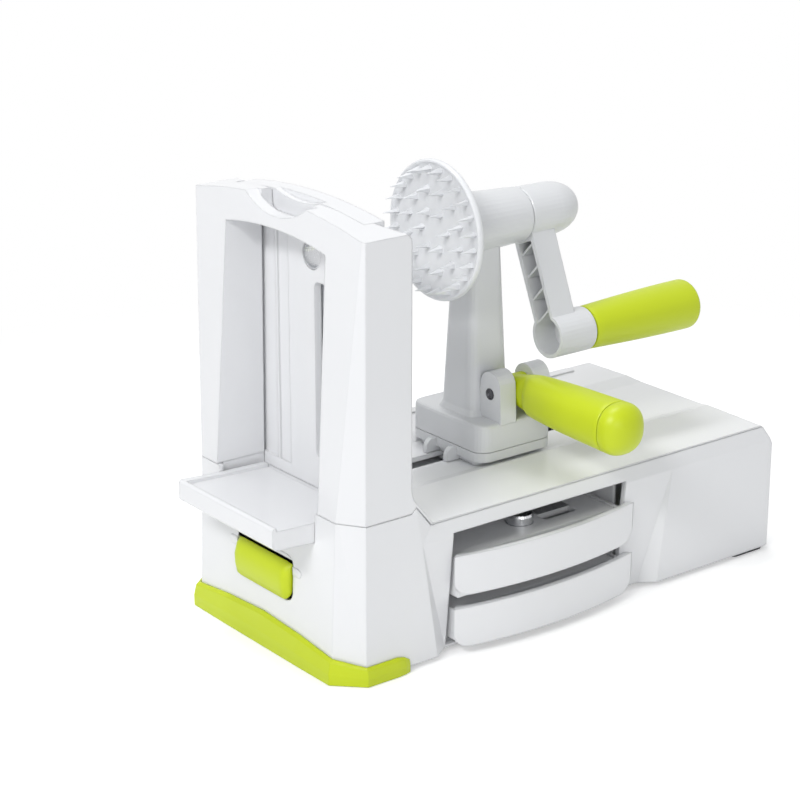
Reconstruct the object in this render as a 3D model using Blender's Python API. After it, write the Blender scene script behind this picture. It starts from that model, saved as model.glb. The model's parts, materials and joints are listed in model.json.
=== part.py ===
"""Hand-cranked spiralizer with a suction base, two blade drawers and a sliding carriage.

Units are metres and +Z is up. X runs from the blade tower at the front towards the crank,
-Y is the side with the drawers. The origin is on the table, under the middle of the suction pad.
"""
import bpy
import bmesh
import math
from mathutils import Matrix, Vector

# Fits that many pieces share
GAP = 0.0003            # clearance between neighbouring pieces
WALL = 0.0025           # wall of the large mouldings
EDGE = 0.0010           # small edge radius

# Base housing
HALF_W = 0.06675        # half width over the side walls
FRONT_X = -0.0267       # front face at the height of the tower seam
FRONT_LEAN = 0.035      # how far the front steps out for each metre down
CORNER_Y = HALF_W - 0.01225       # where the front face meets the corner chamfer, at the seam
CORNER_X = -0.0184      # where the corner chamfer meets the side
REAR_X = 0.247
REAR_R = 0.006          # radius of the upright rear corners
BASE_Z = 0.0025         # lower edge of the side walls
SEAM_Z = 0.0778         # joint between base and tower
SHOULDER_X = 0.0074     # where the tower joint turns up
SHOULDER_PEAK = (0.010, 0.0804)
SHOULDER_FOOT = (0.0195, 0.0692)
DECK_SEAM_Z = 0.0692    # top of the side walls beside the deck
STRIP_Z = 0.0615        # lower edge of the bevel under the deck
STRIP_IN = 0.0013       # how far that bevel leans in
REAR_BEVEL = ((0.237, 0.0692), (0.2463, 0.0554))
VALLEY_IN = 0.0060      # depth of the hollow side at the table
VALLEY_FRONT = (0.0137, 0.0234)   # x of its front edge, top and bottom
VALLEY_REAR = (0.1718, 0.1635)    # x of its rear edge, top and bottom
VALLEY_RAMP = 0.009     # length of the ramps at its two ends

# Drawer bay
BAY_X0 = 0.0320
BAY_X1 = 0.1405
BAY_TOP = 0.0625
BAY_FLOOR = 0.0070
BAY_BACK = HALF_W - 0.01075
LINER = 0.0017          # wall of the bay liner
RAIL_Z = 0.0294         # running surface of the upper drawer
RAIL_T = 0.0018
RAIL_W = 0.0040

# Drawers
PANEL_X0 = 0.0312
PANEL_X1 = 0.1442
PANEL_Y = -HALF_W - 0.00165       # front of the panel at its two ends
PANEL_BOW = 0.0065      # how far its middle stands out
PANEL_R = 0.0085        # radius of its lower corners
PANEL_T = 0.0028
UPPER_PANEL = (0.0309, 0.0512)
LOWER_PANEL = (0.0045, 0.0246)
DRAWER_T = 0.0016
DRAWER_BACK = BAY_BACK - 0.0030
DRAWER_PLAY = 0.0005

# Deck and tower, one moulding
DECK_EDGE = 0.0007      # upright lip of the deck along the seam
DECK_T = 0.0025
RIDGE_Y = 0.0310
RIDGE_Z = 0.0728
CHANNEL_Y = 0.0230      # half width of the channel floor
CHANNEL_Z = 0.0705
DECK_REAR = ((0.2365, 0.0695), (0.2315, 0.0728))
RIM_Y = (HALF_W - 0.00975, HALF_W - 0.00275)  # narrow rim along the far edge
RIM_H = 0.0008
RIM_END = 0.2170
SLOT_HALF = 0.0058      # slot that the carriage key runs in
SLOT_X = (0.0330, 0.1980)
TOWER_LEAN = 0.060      # how far the tower front steps back for each metre up
TOWER_REAR = 0.0075
TOWER_CORNER = 0.0045   # radius of the top rear edge
CROWN_Z = 0.2157
CROWN_R = 0.322
TOWER_CHAMFER = (0.0083, 0.0122)  # corner chamfer at the seam, along X and along Y
CHAMFER_TOP = 0.2088    # height at which it has run out
WINDOW_HALF = (0.0412, 0.0393)    # half width at the sill and at the top
WINDOW_Z = (0.0760, 0.1978)
WINDOW_R = 0.210
SCOOP_R = 0.041
SCOOP_Z = 0.2072        # lowest point of the finger scoop
SCOOP_BACK = -0.0120
GRIP_HALF = 0.0200      # half width of the finger hole behind the scoop
GRIP_Z = 0.2050
POST_R = 0.0038         # screw posts under the deck
SCREW_R = 0.0015
HEAD_R = 0.0028
FRONT_POST = (-0.0120, HALF_W - 0.01025)
REAR_POST = (0.2060, 0.0500)

# Blade insert
INSERT_HALF = 0.0500
INSERT_X = (0.0010, 0.0050)
CAP_FRONT = -0.0060
INSERT_FOOT = 0.0725
CAP_Z = 0.2010
SILL_Z = 0.0722
RING_R = 0.0067
RING_T = 0.0006
RING_OUT = 0.0048       # how far the coring ring stands out of the plate
KNIFE_T = 0.0008
KNIFE_W = 0.0125
KNIFE_WAY = 0.0105      # half width of the notch in the crown that ring and knife pass
CUT_SLOT = (-0.0115, -0.0020)     # sides of the slot that a slice passes through
CUT_Z = (0.0880, 0.1740)

# Landing tray
TRAY_HALF = 0.0390
TRAY_FRONT = -0.0500
TRAY_REAR = -0.0013
TRAY_TOP = 0.0760
TRAY_FLOOR = 0.0742
TRAY_BOTTOM = (0.0650, 0.0638)    # underside at the front and at the base wall
TRAY_RIM = 0.0022

# Foot band and feet
BAND_SIDE_X = 0.0060
BAND_TOP = (0.0094, 0.0124, 0.0168)   # top edge at the side, the corner and the middle
BAND_T = 0.0030
BAND_LIFT = 0.0004
FOOT_X = (0.2210, 0.2435)
FOOT_Y = (HALF_W - 0.01675, HALF_W - 0.00255)
FOOT_H = 0.0022
PLATE_Z = (0.0026, 0.0050)

# Suction
PAD_R = 0.0280
PAD_LIP = 0.0016
PAD_BODY_R = 0.0250
PAD_WELL_R = 0.0125
PAD_SKIN = 0.0014
STEM_FOOT_R = 0.0115
STEM_R = 0.0030
STEM_LIFT = 0.0025
LEVER_AXLE = (-0.0265, 0.0445)
LEVER_HALF = 0.0210
LEVER_Z = (0.0300, 0.0480)
LEVER_OPEN = (0.0285, 0.0514)
AXLE_R = 0.0013
CAM_R = 0.0042
CAM_THROW = 0.00207
CAM_PHASE = 30.0        # degrees from straight up, at rest
CAM_Y = 0.0060
BELL_R = 0.0150

# Carriage
BLOCK_X = (0.0800, 0.1270)
BLOCK_HALF = 0.0280
BLOCK_R = 0.0070
BLOCK_Z = (0.0733, 0.0782, 0.0920)    # underside, joint of the two tiers, top
SHOE_HALF = 0.0220
KEY_X = (0.0840, 0.1060)
KEY_HALF = 0.0110
KEY_T = 0.0025
LUG_Y = 0.0080
COLUMN_X = 0.0990
COLUMN_W = (0.0250, 0.0190)
COLUMN_R = 0.0050
COLUMN_TOP = 0.1760
AXIS_Z = 0.1860
HEAD_X = (0.0805, 0.1246)
HEAD_R_FRONT = 0.0155
HEAD_R_REAR = 0.0136
EAR_X = ((0.0920, 0.1020), (0.1140, 0.1240))
EAR_Y = (-0.0275, -0.0125)
EAR_TOP = 0.1163
PIN_Y = -0.0200
PIN_Z = 0.1050
PIN_R = 0.0023

# Push handle
HANDLE_ROOT_R = 0.0074
HANDLE_TIP = -0.1040
HANDLE_R = 0.0127
HANDLE_JOINT = -0.0800  # where the end cap begins

# Food holder and crank
SHAFT_R = 0.0050
BUSH_R = 0.0077
BUSH_L = 0.0120
DISC_X = 0.0746
DISC_R = 0.0345
DISC_T = 0.0030
SPIKE_L = 0.0110
HUB_X = (0.1249, 0.1600)
HUB_R = 0.0133
CRANK_R = 0.0618
CRANK_ANGLE = 22.8      # degrees from straight down, towards -Y
ARM_W = 0.0140
ARM_T = 0.0145
ARM_WALL = 0.0018
BOSS_R = 0.0110
BOSS_END = 0.1483
GRIP_X = (0.1487, 0.2190)
GRIP_R = (0.0110, 0.0130)
GRIP_PIN_R = 0.0020

# Colours of the materials: red, green, blue, roughness, metallic
COLOURS = {
    "white": (0.86, 0.86, 0.88, 0.28, 0.0),
    "light_grey": (0.72, 0.73, 0.76, 0.32, 0.0),
    "lime": (0.62, 0.78, 0.03, 0.35, 0.0),
    "rubber": (0.20, 0.21, 0.22, 0.85, 0.0),
    "steel": (0.75, 0.76, 0.78, 0.20, 1.0),
}

# The bodies that move, each with the place that its empty stands at
crank_rad = math.radians(CRANK_ANGLE)
BOSS_Y = -CRANK_R * math.sin(crank_rad)
BOSS_Z = AXIS_Z - CRANK_R * math.cos(crank_rad)
HANDLE_X = (EAR_X[0][1] + EAR_X[1][0]) / 2
BODIES = {
    "base": (None, (0, 0, 0)),
    "blade_insert": ("base", (INSERT_X[0], 0, INSERT_FOOT)),
    "upper_drawer": ("base", (BAY_X0, PANEL_Y, UPPER_PANEL[0])),
    "lower_drawer": ("base", (BAY_X0, PANEL_Y, LOWER_PANEL[0])),
    "suction_lever": ("base", (LEVER_AXLE[0], 0, LEVER_AXLE[1])),
    "suction_stem": ("base", (0, 0, PAD_SKIN)),
    "carriage": ("base", (COLUMN_X, 0, CHANNEL_Z)),
    "push_handle": ("carriage", (HANDLE_X, PIN_Y, PIN_Z)),
    "crank": ("carriage", (HUB_X[0], 0, AXIS_Z)),
    "crank_grip": ("crank", (GRIP_X[0], BOSS_Y, BOSS_Z)),
}
empties = {}
materials = {}


def clear_scene():
    for obj in list(bpy.data.objects):
        bpy.data.objects.remove(obj, do_unlink=True)


def make_materials():
    for name, (red, green, blue, rough, metal) in COLOURS.items():
        material = bpy.data.materials.new(name)
        material.use_nodes = True
        shader = material.node_tree.nodes["Principled BSDF"]
        shader.inputs["Base Color"].default_value = (red, green, blue, 1)
        shader.inputs["Roughness"].default_value = rough
        shader.inputs["Metallic"].default_value = metal
        materials[name] = material


def make_bodies():
    """One empty for each body, standing at its joint and parented like the real assembly."""
    for name, (parent, place) in BODIES.items():
        empty = bpy.data.objects.new(name + "_pivot", None)
        bpy.context.collection.objects.link(empty)
        start = Vector((0, 0, 0))
        if parent:
            empty.parent = empties[parent]
            start = Vector(BODIES[parent][1])
        empty.location = Vector(place) - start
        empties[name] = empty


# Outlines

def arc(cx, cy, radius, start, end, steps):
    """Points of an arc, angles in degrees, both ends included."""
    points = []
    for i in range(steps + 1):
        angle = math.radians(start + (end - start) * i / steps)
        points.append((cx + radius * math.cos(angle), cy + radius * math.sin(angle)))
    return points


def circle(cx, cy, radius, steps=32):
    return arc(cx, cy, radius, 0, 360 - 360 / steps, steps - 1)


def rounded(x0, y0, x1, y1, radius, steps=4):
    """A rectangle with rounded corners."""
    r = radius
    return (arc(x1 - r, y0 + r, r, -90, 0, steps) + arc(x1 - r, y1 - r, r, 0, 90, steps)
            + arc(x0 + r, y1 - r, r, 90, 180, steps) + arc(x0 + r, y0 + r, r, 180, 270, steps))


def crown_height(y, top=CROWN_Z, radius=CROWN_R):
    """Height of a shallow arch at the distance y from its middle."""
    return top - radius + math.sqrt(radius ** 2 - y ** 2)


def front_x(z):
    """Front face of the base at the height z."""
    return FRONT_X + FRONT_LEAN * (z - SEAM_Z)


def tower_x(z):
    """Front face of the tower at the height z."""
    return FRONT_X + TOWER_LEAN * (z - SEAM_Z)


# Solids

def axes(axis, along, u, v):
    """A point from its place along an axis and its two other coordinates, in XYZ order."""
    return {"X": (along, u, v), "Y": (u, along, v), "Z": (u, v, along)}[axis]


def solid(name, rings, loop=False):
    """A closed solid through rings of points. A ring of one point is a tip."""
    bm = bmesh.new()
    rows = [[bm.verts.new(point) for point in ring] for ring in rings]
    pairs = list(zip(rows, rows[1:]))
    if loop:
        pairs.append((rows[-1], rows[0]))
    for low, high in pairs:
        count = max(len(low), len(high))
        for i in range(count):
            j = (i + 1) % count
            if len(low) == 1:
                bm.faces.new((low[0], high[j], high[i]))
            elif len(high) == 1:
                bm.faces.new((low[i], low[j], high[0]))
            else:
                bm.faces.new((low[i], low[j], high[j], high[i]))
    if not loop:
        for end in (rows[0], rows[-1]):
            if len(end) > 2:
                bm.faces.new(end)
    bm.normal_update()
    bmesh.ops.triangulate(bm, faces=[face for face in bm.faces if is_skew(face)])
    bmesh.ops.recalc_face_normals(bm, faces=bm.faces)
    return finish_mesh(name, bm)


def is_skew(face):
    """Whether a four-sided face is bent, so that it has to be split."""
    if len(face.verts) != 4:
        return False
    a, b, c, d = [vert.co for vert in face.verts]
    return abs((b - a).cross(c - a).normalized().dot(d - a)) > 0.0000002


def finish_mesh(name, bm):
    mesh = bpy.data.meshes.new(name)
    bm.to_mesh(mesh)
    bm.free()
    obj = bpy.data.objects.new(name, mesh)
    bpy.context.collection.objects.link(obj)
    return obj


def prism(name, outline, low, high, axis="Z"):
    return solid(name, [[axes(axis, t, u, v) for u, v in outline] for t in (low, high)])


def box(name, low, high):
    outline = [(low[0], low[1]), (high[0], low[1]), (high[0], high[1]), (low[0], high[1])]
    return prism(name, outline, low[2], high[2])


def turned(name, profile, axis="Z", centre=(0, 0), steps=32, loop=False):
    """A solid of revolution. The profile is a list of (place along the axis, radius).

    It ends in a flat face where the last radius is above zero, and else in a tip.
    """
    rings = []
    for along, radius in profile:
        if radius <= 0:
            rings.append([axes(axis, along, centre[0], centre[1])])
        else:
            rings.append([axes(axis, along, u, v) for u, v in circle(*centre, radius, steps)])
    return solid(name, rings, loop)


def hull(name, points):
    """The convex solid around some points."""
    bm = bmesh.new()
    for point in points:
        bm.verts.new(point)
    result = bmesh.ops.convex_hull(bm, input=bm.verts)
    loose = [item for item in result["geom_interior"] if isinstance(item, bmesh.types.BMVert)]
    bmesh.ops.delete(bm, geom=loose, context="VERTS")
    bmesh.ops.recalc_face_normals(bm, faces=bm.faces)
    return finish_mesh(name, bm)


def combine(target, operation, tools):
    for tool in tools:
        modifier = target.modifiers.new(tool.name, "BOOLEAN")
        modifier.operation = operation
        modifier.solver = "EXACT"
        modifier.object = tool
        tool.hide_render = True
        tool.display_type = "WIRE"


def cut(target, *tools):
    combine(target, "DIFFERENCE", tools)


def add(target, *tools):
    combine(target, "UNION", tools)


def trim(target, *tools):
    combine(target, "INTERSECT", tools)


def turn(obj, matrix):
    """Turn a piece and everything that cuts it or joins it."""
    obj.data.transform(matrix)
    for modifier in obj.modifiers:
        turn(modifier.object, matrix)


def settle(obj, body):
    """Give a piece and its tools the origin of their body and hang them on its empty."""
    obj.data.transform(Matrix.Translation(-Vector(BODIES[body][1])))
    obj.parent = empties[body]
    for modifier in obj.modifiers:
        settle(modifier.object, body)


def piece(obj, body, material):
    settle(obj, body)
    obj.data.materials.append(materials[material])
    obj.data.shade_smooth()
    obj.data.set_sharp_from_angle(angle=math.radians(32))
    return obj


def both_sides(build):
    """The pieces that a function makes on the drawer side (-1) and on the far side (+1)."""
    return [build(side) for side in (-1, 1)]


# The base

def base_outline(z, inset=0.0, half=HALF_W, chamfer_shift=0.0):
    """Plan of the base at the height z, with the wall moved in by inset."""
    front = front_x(z) + inset
    corner_y = CORNER_Y - 0.35 * inset + chamfer_shift
    corner_x = CORNER_X + 0.6 * inset
    rear = REAR_X - inset
    half = half - inset
    near = [(front, -corner_y), (corner_x, -half)] + arc(rear - REAR_R, -half + REAR_R, REAR_R, -90, 0, 3)
    far = [(x, -y) for x, y in reversed(near)]
    return near + far


def base_shell(name, inset, low, high):
    rings = []
    for z in (low, high):
        rings.append([(x, y, z) for x, y in base_outline(z, inset)])
    return solid(name, rings)


def side_profile(grow):
    """Side view of the base: tower joint, shoulder, deck joint and rear bevel."""
    return [(-0.060, -0.010), (-0.060, SEAM_Z + grow), (SHOULDER_X, SEAM_Z + grow),
            (SHOULDER_PEAK[0] + grow / 2, SHOULDER_PEAK[1] + grow),
            (SHOULDER_FOOT[0] + grow / 2, SHOULDER_FOOT[1] + grow),
            (REAR_BEVEL[0][0], REAR_BEVEL[0][1] + grow), REAR_BEVEL[1],
            (REAR_X + 0.002, REAR_BEVEL[1][1] - 0.003), (REAR_X + 0.002, -0.010)]


def bevel_wall():
    """Thickness of the rear bevel's wall, measured along X."""
    run = REAR_BEVEL[1][0] - REAR_BEVEL[0][0]
    drop = REAR_BEVEL[0][1] - REAR_BEVEL[1][1]
    return WALL * math.hypot(run, drop) / drop


def build_base_body():
    top = SHOULDER_PEAK[1] + 0.005
    body = base_shell("base_body", 0, BASE_Z, top)
    trim(body, prism("base_side_view", side_profile(0), -0.1, 0.1, "Y"))

    def strip(side):
        """The bevel under the deck joint."""
        points = []
        for x in (VALLEY_FRONT[0], REAR_X + 0.003):
            for y in (HALF_W, HALF_W + 0.005):
                points.append((x, side * y, STRIP_Z))
        for x in (SHOULDER_FOOT[0], REAR_X + 0.003):
            for y in (HALF_W - STRIP_IN, HALF_W + 0.005):
                points.append((x, side * y, DECK_SEAM_Z + 0.0002))
        return hull("bevel_strip", points)

    def facet(side):
        """The small facet where the shoulder runs into the bevel."""
        points = []
        corners = [(SHOULDER_PEAK[0], HALF_W, SHOULDER_PEAK[1]), (VALLEY_FRONT[0], HALF_W, STRIP_Z),
                   (SHOULDER_FOOT[0], HALF_W - STRIP_IN, SHOULDER_FOOT[1])]
        for x, y, z in corners:
            points.append((x, side * y, z))
            points.append((x, side * (HALF_W + 0.004), z))
        points.append((SHOULDER_FOOT[0] + 0.002, side * (HALF_W + 0.004), SHOULDER_PEAK[1]))
        return hull("shoulder_facet", points)

    def valley(side):
        """The hollow side round the drawers, deepest at the table."""
        points = []
        for x0, x1, z in ((VALLEY_FRONT[0], VALLEY_REAR[0], STRIP_Z), (VALLEY_FRONT[1], VALLEY_REAR[1], 0.0)):
            for x in (x0, x1):
                points.append((x, side * HALF_W, z))
                points.append((x, side * (HALF_W + 0.006), z))
        for x in (VALLEY_FRONT[1] + VALLEY_RAMP, VALLEY_REAR[1] - VALLEY_RAMP):
            points.append((x, side * (HALF_W - VALLEY_IN), 0.0))
        return hull("side_valley", points)

    cut(body, *both_sides(strip), *both_sides(facet), *both_sides(valley))

    # Hollow in three stretches, because the middle one follows the hollow sides
    room = base_shell("room", WALL, -0.010, 0.100)
    run = REAR_BEVEL[1][0] - REAR_BEVEL[0][0]
    drop = REAR_BEVEL[0][1] - REAR_BEVEL[1][1]
    inner_x = REAR_BEVEL[0][0] - bevel_wall()
    outline = [(-0.1, -0.02), (-0.1, 0.11), (inner_x - run * 2, 0.11),
               (inner_x - run * 2, DECK_SEAM_Z + drop * 2),
               (inner_x + run * 2, DECK_SEAM_Z - drop * 2), (0.3, -0.02)]
    trim(room, prism("bevel_room", outline, -0.1, 0.1, "Y"))

    def waist_wall(side):
        outer = HALF_W + 0.001
        inner = HALF_W - WALL - 0.0006
        outline = [(outer, -0.012), (outer, 0.102), (inner, 0.102), (inner, STRIP_Z),
                   (HALF_W - VALLEY_IN - WALL, BASE_Z), (HALF_W - VALLEY_IN - WALL, -0.012)]
        return prism("waist_wall", [(side * y, z) for y, z in outline],
                     VALLEY_FRONT[0] - 0.002, VALLEY_REAR[0] + 0.004, "X")

    cut(room, *both_sides(waist_wall))
    cut(body, room)

    # Openings: drawer bay, landing tray and suction lever
    cut(body, box("bay_opening", (BAY_X0, -HALF_W - 0.01, BAY_FLOOR - 0.003), (BAY_X1, -0.050, BAY_TOP)))
    cut(body, box("tray_notch", (TRAY_FRONT, -TRAY_HALF - GAP, TRAY_BOTTOM[1] - GAP),
                  (FRONT_X + 0.012, TRAY_HALF + GAP, 0.1)))

    def axle_block(side):
        y = sorted((side * (LEVER_HALF + 0.0023), side * (LEVER_HALF + 0.0075)))
        return box("axle_block", (front_x(LEVER_AXLE[1]) + 0.0004, y[0], LEVER_AXLE[1] - 0.0045),
                   (front_x(LEVER_AXLE[1]) + 0.0075, y[1], LEVER_AXLE[1] + 0.0045))

    add(body, *both_sides(axle_block))
    lever_way = rounded(-LEVER_HALF - 0.0018, LEVER_OPEN[0], LEVER_HALF + 0.0018, LEVER_OPEN[1], 0.0045, 3)
    cut(body, prism("lever_opening", lever_way, -0.040, -0.0180, "X"))
    cut(body, prism("axle_bore", circle(*LEVER_AXLE, AXLE_R + GAP, 16), -LEVER_HALF - 0.0062,
                    LEVER_HALF + 0.0062, "Y"))
    piece(body, "base", "white")


def deck_section():
    """Half of the deck's cross-section, from the seam to the middle, as (y, z)."""
    lip = DECK_SEAM_Z + GAP
    inner = HALF_W - WALL - STRIP_IN - 2 * GAP
    top = [(HALF_W - STRIP_IN, lip), (HALF_W - STRIP_IN, lip + DECK_EDGE), (RIDGE_Y, RIDGE_Z),
           (CHANNEL_Y, CHANNEL_Z)]
    under = [(CHANNEL_Y + 0.001, CHANNEL_Z - DECK_T), (RIDGE_Y + 0.001, RIDGE_Z - DECK_T),
             (inner, lip - DECK_T + 0.0006), (inner, lip)]
    return top, under


def deck_height(y):
    """Top of the sloping deck beside the channel."""
    edge = DECK_SEAM_Z + GAP + DECK_EDGE
    share = (HALF_W - STRIP_IN - abs(y)) / (HALF_W - STRIP_IN - RIDGE_Y)
    return edge + share * (RIDGE_Z - edge)


def build_deck_tower():
    # Deck
    top, under = deck_section()
    outline = [(-y, z) for y, z in top] + [(y, z) for y, z in reversed(top)]
    outline += [(y, z) for y, z in reversed(under)] + [(-y, z) for y, z in under]
    deck = prism("deck_tower", outline, INSERT_X[0] - 0.002, REAR_X, "X")
    seat_x = REAR_BEVEL[0][0] - bevel_wall() - 2 * GAP
    rear = [DECK_REAR[0], (DECK_REAR[1][0] - 0.003, DECK_REAR[1][1] + 0.002), (REAR_X + 0.01, 0.09),
            (REAR_X + 0.01, 0.05), (seat_x, 0.05), (seat_x, DECK_SEAM_Z + GAP)]
    cut(deck, prism("deck_rear_bevel", rear, -0.1, 0.1, "Y"))
    add(deck, hull("far_rim", [(x, y, deck_height(y) + rise) for x in (SLOT_X[0], RIM_END) for y in RIM_Y
                               for rise in (-0.0006, RIM_H)]))

    # Tower: side view, then the crown, then the corner chamfers
    joint = SEAM_Z + GAP
    side = [(tower_x(joint), joint), (tower_x(0.220), 0.220)]
    side += [(x, z) for x, z in reversed(arc(TOWER_REAR - TOWER_CORNER, 0.2155 - 0.006 - TOWER_CORNER,
                                             TOWER_CORNER, 0, 90, 4))]
    side += [(TOWER_REAR, 0.100)]
    side += arc(TOWER_REAR + 0.012, 0.0900, 0.012, 180, 232, 4)
    side += [(SHOULDER_FOOT[0] + GAP, DECK_SEAM_Z + 0.0010), (SHOULDER_FOOT[0], CHANNEL_Z - DECK_T + 0.0006),
             (SHOULDER_X - 0.004, CHANNEL_Z - DECK_T + 0.0006), (SHOULDER_X - 0.004, joint)]
    tower = prism("tower", side, -HALF_W, HALF_W, "Y")
    crown = [(-HALF_W - 0.001, 0.040), (HALF_W + 0.001, 0.040)]
    crown += [(y, crown_height(y)) for y in [HALF_W * (1 - i / 12) for i in range(25)]]
    crown[2] = (HALF_W + 0.001, crown_height(HALF_W))
    crown[-1] = (-HALF_W - 0.001, crown_height(HALF_W))
    trim(tower, prism("crown", crown, -0.060, 0.060, "X"))

    def corner(side_sign):
        x0 = tower_x(joint)
        run_x, run_y = TOWER_CHAMFER
        points = []
        for z, share in ((joint - 0.002, 1.0), (CHAMFER_TOP, 0.04), (0.222, 0.03)):
            x = tower_x(z)
            points += [(x - 0.004, side_sign * (HALF_W - run_y * share), z),
                       (x, side_sign * (HALF_W - run_y * share), z),
                       (x + run_x * share, side_sign * HALF_W, z),
                       (x + run_x * share, side_sign * (HALF_W + 0.004), z),
                       (x0 - 0.006, side_sign * (HALF_W + 0.004), z)]
        return hull("corner_chamfer", points)

    cut(tower, *both_sides(corner))

    def shoulder_relief(side_sign):
        """Deck and tower stay clear of the raised shoulder of the base."""
        y = sorted((side_sign * (HALF_W - WALL - STRIP_IN - 2 * GAP), side_sign * (HALF_W + 0.003)))
        outline = [(-0.004, 0.05), (-0.004, joint)] + side_profile(GAP)[2:5]
        outline += [(0.030, DECK_SEAM_Z + GAP), (0.030, 0.05)]
        return prism("shoulder_relief", outline, y[0], y[1], "Y")

    def leg_plug(side_sign):
        """The part of a tower leg that stands inside the base."""
        y = sorted((side_sign * (WINDOW_HALF[0] + GAP), side_sign * (CORNER_Y - 0.001)))
        outer = sorted((side_sign * (CORNER_Y - 0.004), side_sign * (HALF_W - WALL - STRIP_IN - 2 * GAP)))
        plug = box("leg_plug", (tower_x(joint) + WALL + 3 * GAP, y[0], 0.0680),
                   (SHOULDER_X + 0.002, y[1], joint + 0.004))
        add(plug, box("leg_plug_side", (CORNER_X + WALL + 0.002, outer[0], 0.0680),
                      (SHOULDER_X + 0.002, outer[1], joint + 0.004)))
        return plug

    add(deck, tower, *both_sides(leg_plug))
    cut(deck, *both_sides(shoulder_relief))

    # Sill under the insert
    add(deck, box("sill", (INSERT_X[0] - 0.0022, -INSERT_HALF - 0.001, 0.0680),
                  (TOWER_REAR + 0.002, INSERT_HALF + 0.001, SILL_Z)))

    # Window, with the arch over it
    window = [(-WINDOW_HALF[0], SILL_Z), (WINDOW_HALF[0], SILL_Z), (WINDOW_HALF[0], WINDOW_Z[0])]
    arch_top = WINDOW_Z[1] + (WINDOW_R - math.sqrt(WINDOW_R ** 2 - WINDOW_HALF[1] ** 2))
    window += [(y, crown_height(y, arch_top, WINDOW_R)) for y in
               [WINDOW_HALF[1] * (1 - i / 6) for i in range(13)]]
    window += [(-WINDOW_HALF[0], WINDOW_Z[0])]
    cut(deck, prism("window", window, -0.060, SHOULDER_PEAK[0] + 0.02, "X"))

    # Way for the insert: a wide slot through the crown and narrow grooves down the legs
    half = INSERT_HALF + GAP
    cut(deck, box("insert_slot", (CAP_FRONT - GAP, -half, CAP_Z - GAP), (INSERT_X[1] + GAP, half, 0.25)),
        box("insert_groove", (INSERT_X[0] - GAP, -half, SILL_Z), (INSERT_X[1] + GAP, half, CAP_Z + 0.001)))

    # Finger scoop in the crown and the hole behind it
    scoop = circle(0, SCOOP_Z + SCOOP_R, SCOOP_R, 72)
    cut(deck, prism("finger_scoop", scoop, -0.060, SCOOP_BACK, "X"))
    hole = rounded(-GRIP_HALF, GRIP_Z, GRIP_HALF, 0.230, 0.004, 4)
    cut(deck, prism("finger_hole", hole, SCOOP_BACK - 0.0005, CAP_FRONT + 0.0005, "X"))

    # Way for the ring and the knife as the insert is drawn out
    cut(deck, box("ring_way", (INSERT_X[1], -KNIFE_WAY, CAP_Z - 0.02), (TOWER_REAR + 0.01, KNIFE_WAY, 0.25)))

    # Hollow legs, open below
    def leg_room(side_sign):
        y = sorted((side_sign * (INSERT_HALF + 0.0028), side_sign * (HALF_W - WALL - 0.002)))
        return box("leg_room", (CORNER_X + 0.0035, y[0], 0.0600), (TOWER_REAR - WALL, y[1], 0.1980))

    cut(deck, *both_sides(leg_room))

    # Slot for the carriage key
    cut(deck, prism("key_slot", rounded(SLOT_X[0], -SLOT_HALF, SLOT_X[1], SLOT_HALF, 0.002), 0.06, 0.09))

    # Screw posts
    posts = []
    holes = []
    for x, y in (FRONT_POST, REAR_POST):
        for side_sign in (-1, 1):
            reach = 0.0690
            posts.append(prism("screw_post", circle(x, side_sign * y, POST_R, 16), PLATE_Z[1] + GAP, reach))
            holes.append(prism("post_hole", circle(x, side_sign * y, SCREW_R + GAP, 12), 0.0,
                               PLATE_Z[1] + 0.0150))
    add(deck, *posts)
    cut(deck, *holes)
    piece(deck, "base", "white")


def build_bottom_plate():
    inset = WALL + GAP
    waist = HALF_W - VALLEY_IN - WALL - 2 * GAP
    near = []
    half = HALF_W - inset
    z = PLATE_Z[0]
    near += [(front_x(z) + inset + 0.0003, -(CORNER_Y - 0.35 * inset)), (CORNER_X + 0.6 * inset, -half),
             (VALLEY_FRONT[0] - 0.0035, -half), (VALLEY_FRONT[0] - 0.0035, -waist),
             (VALLEY_REAR[0] + 0.0055, -waist), (VALLEY_REAR[0] + 0.0055, -half)]
    near += arc(REAR_X - inset - REAR_R, -half + REAR_R, REAR_R, -90, 0, 3)
    outline = near + [(x, -y) for x, y in reversed(near)]
    plate = prism("bottom_plate", outline, *PLATE_Z)
    cut(plate, prism("pad_hole", circle(0, 0, PAD_BODY_R + 2 * GAP, 48), 0, 0.01))
    for x, y in (FRONT_POST, REAR_POST):
        for side in (-1, 1):
            cut(plate, prism("screw_way", circle(x, side * y, SCREW_R + GAP, 12), 0, 0.01),
                prism("screw_seat", circle(x, side * y, HEAD_R + GAP, 16), 0, PLATE_Z[0] + 0.0012))
    for side in (-1, 1):
        middle = ((FOOT_X[0] + FOOT_X[1]) / 2, side * (FOOT_Y[0] + FOOT_Y[1]) / 2)
        cut(plate, prism("foot_way", circle(*middle, 0.0022 + GAP, 16), 0, 0.01))
    # Stiffening ribs on the upper side, behind the drawer bay
    for x in (0.160, 0.185):
        add(plate, box("plate_rib", (x, -0.045, PLATE_Z[1] - 0.001), (x + 0.0018, 0.045, PLATE_Z[1] + 0.006)))
    piece(plate, "base", "light_grey")


def build_screws():
    number = 0
    for x, y in (FRONT_POST, REAR_POST):
        for side in (-1, 1):
            number += 1
            seat = PLATE_Z[0] + 0.0012 - GAP
            head = seat - 0.0008
            profile = [(head, HEAD_R), (seat, HEAD_R), (seat, SCREW_R), (PLATE_Z[1] + 0.0120, SCREW_R),
                       (PLATE_Z[1] + 0.0135, 0.0005)]
            screw = turned("base_screw_%d" % number, profile, "Z", (x, side * y), 12)
            piece(screw, "base", "steel")


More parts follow.
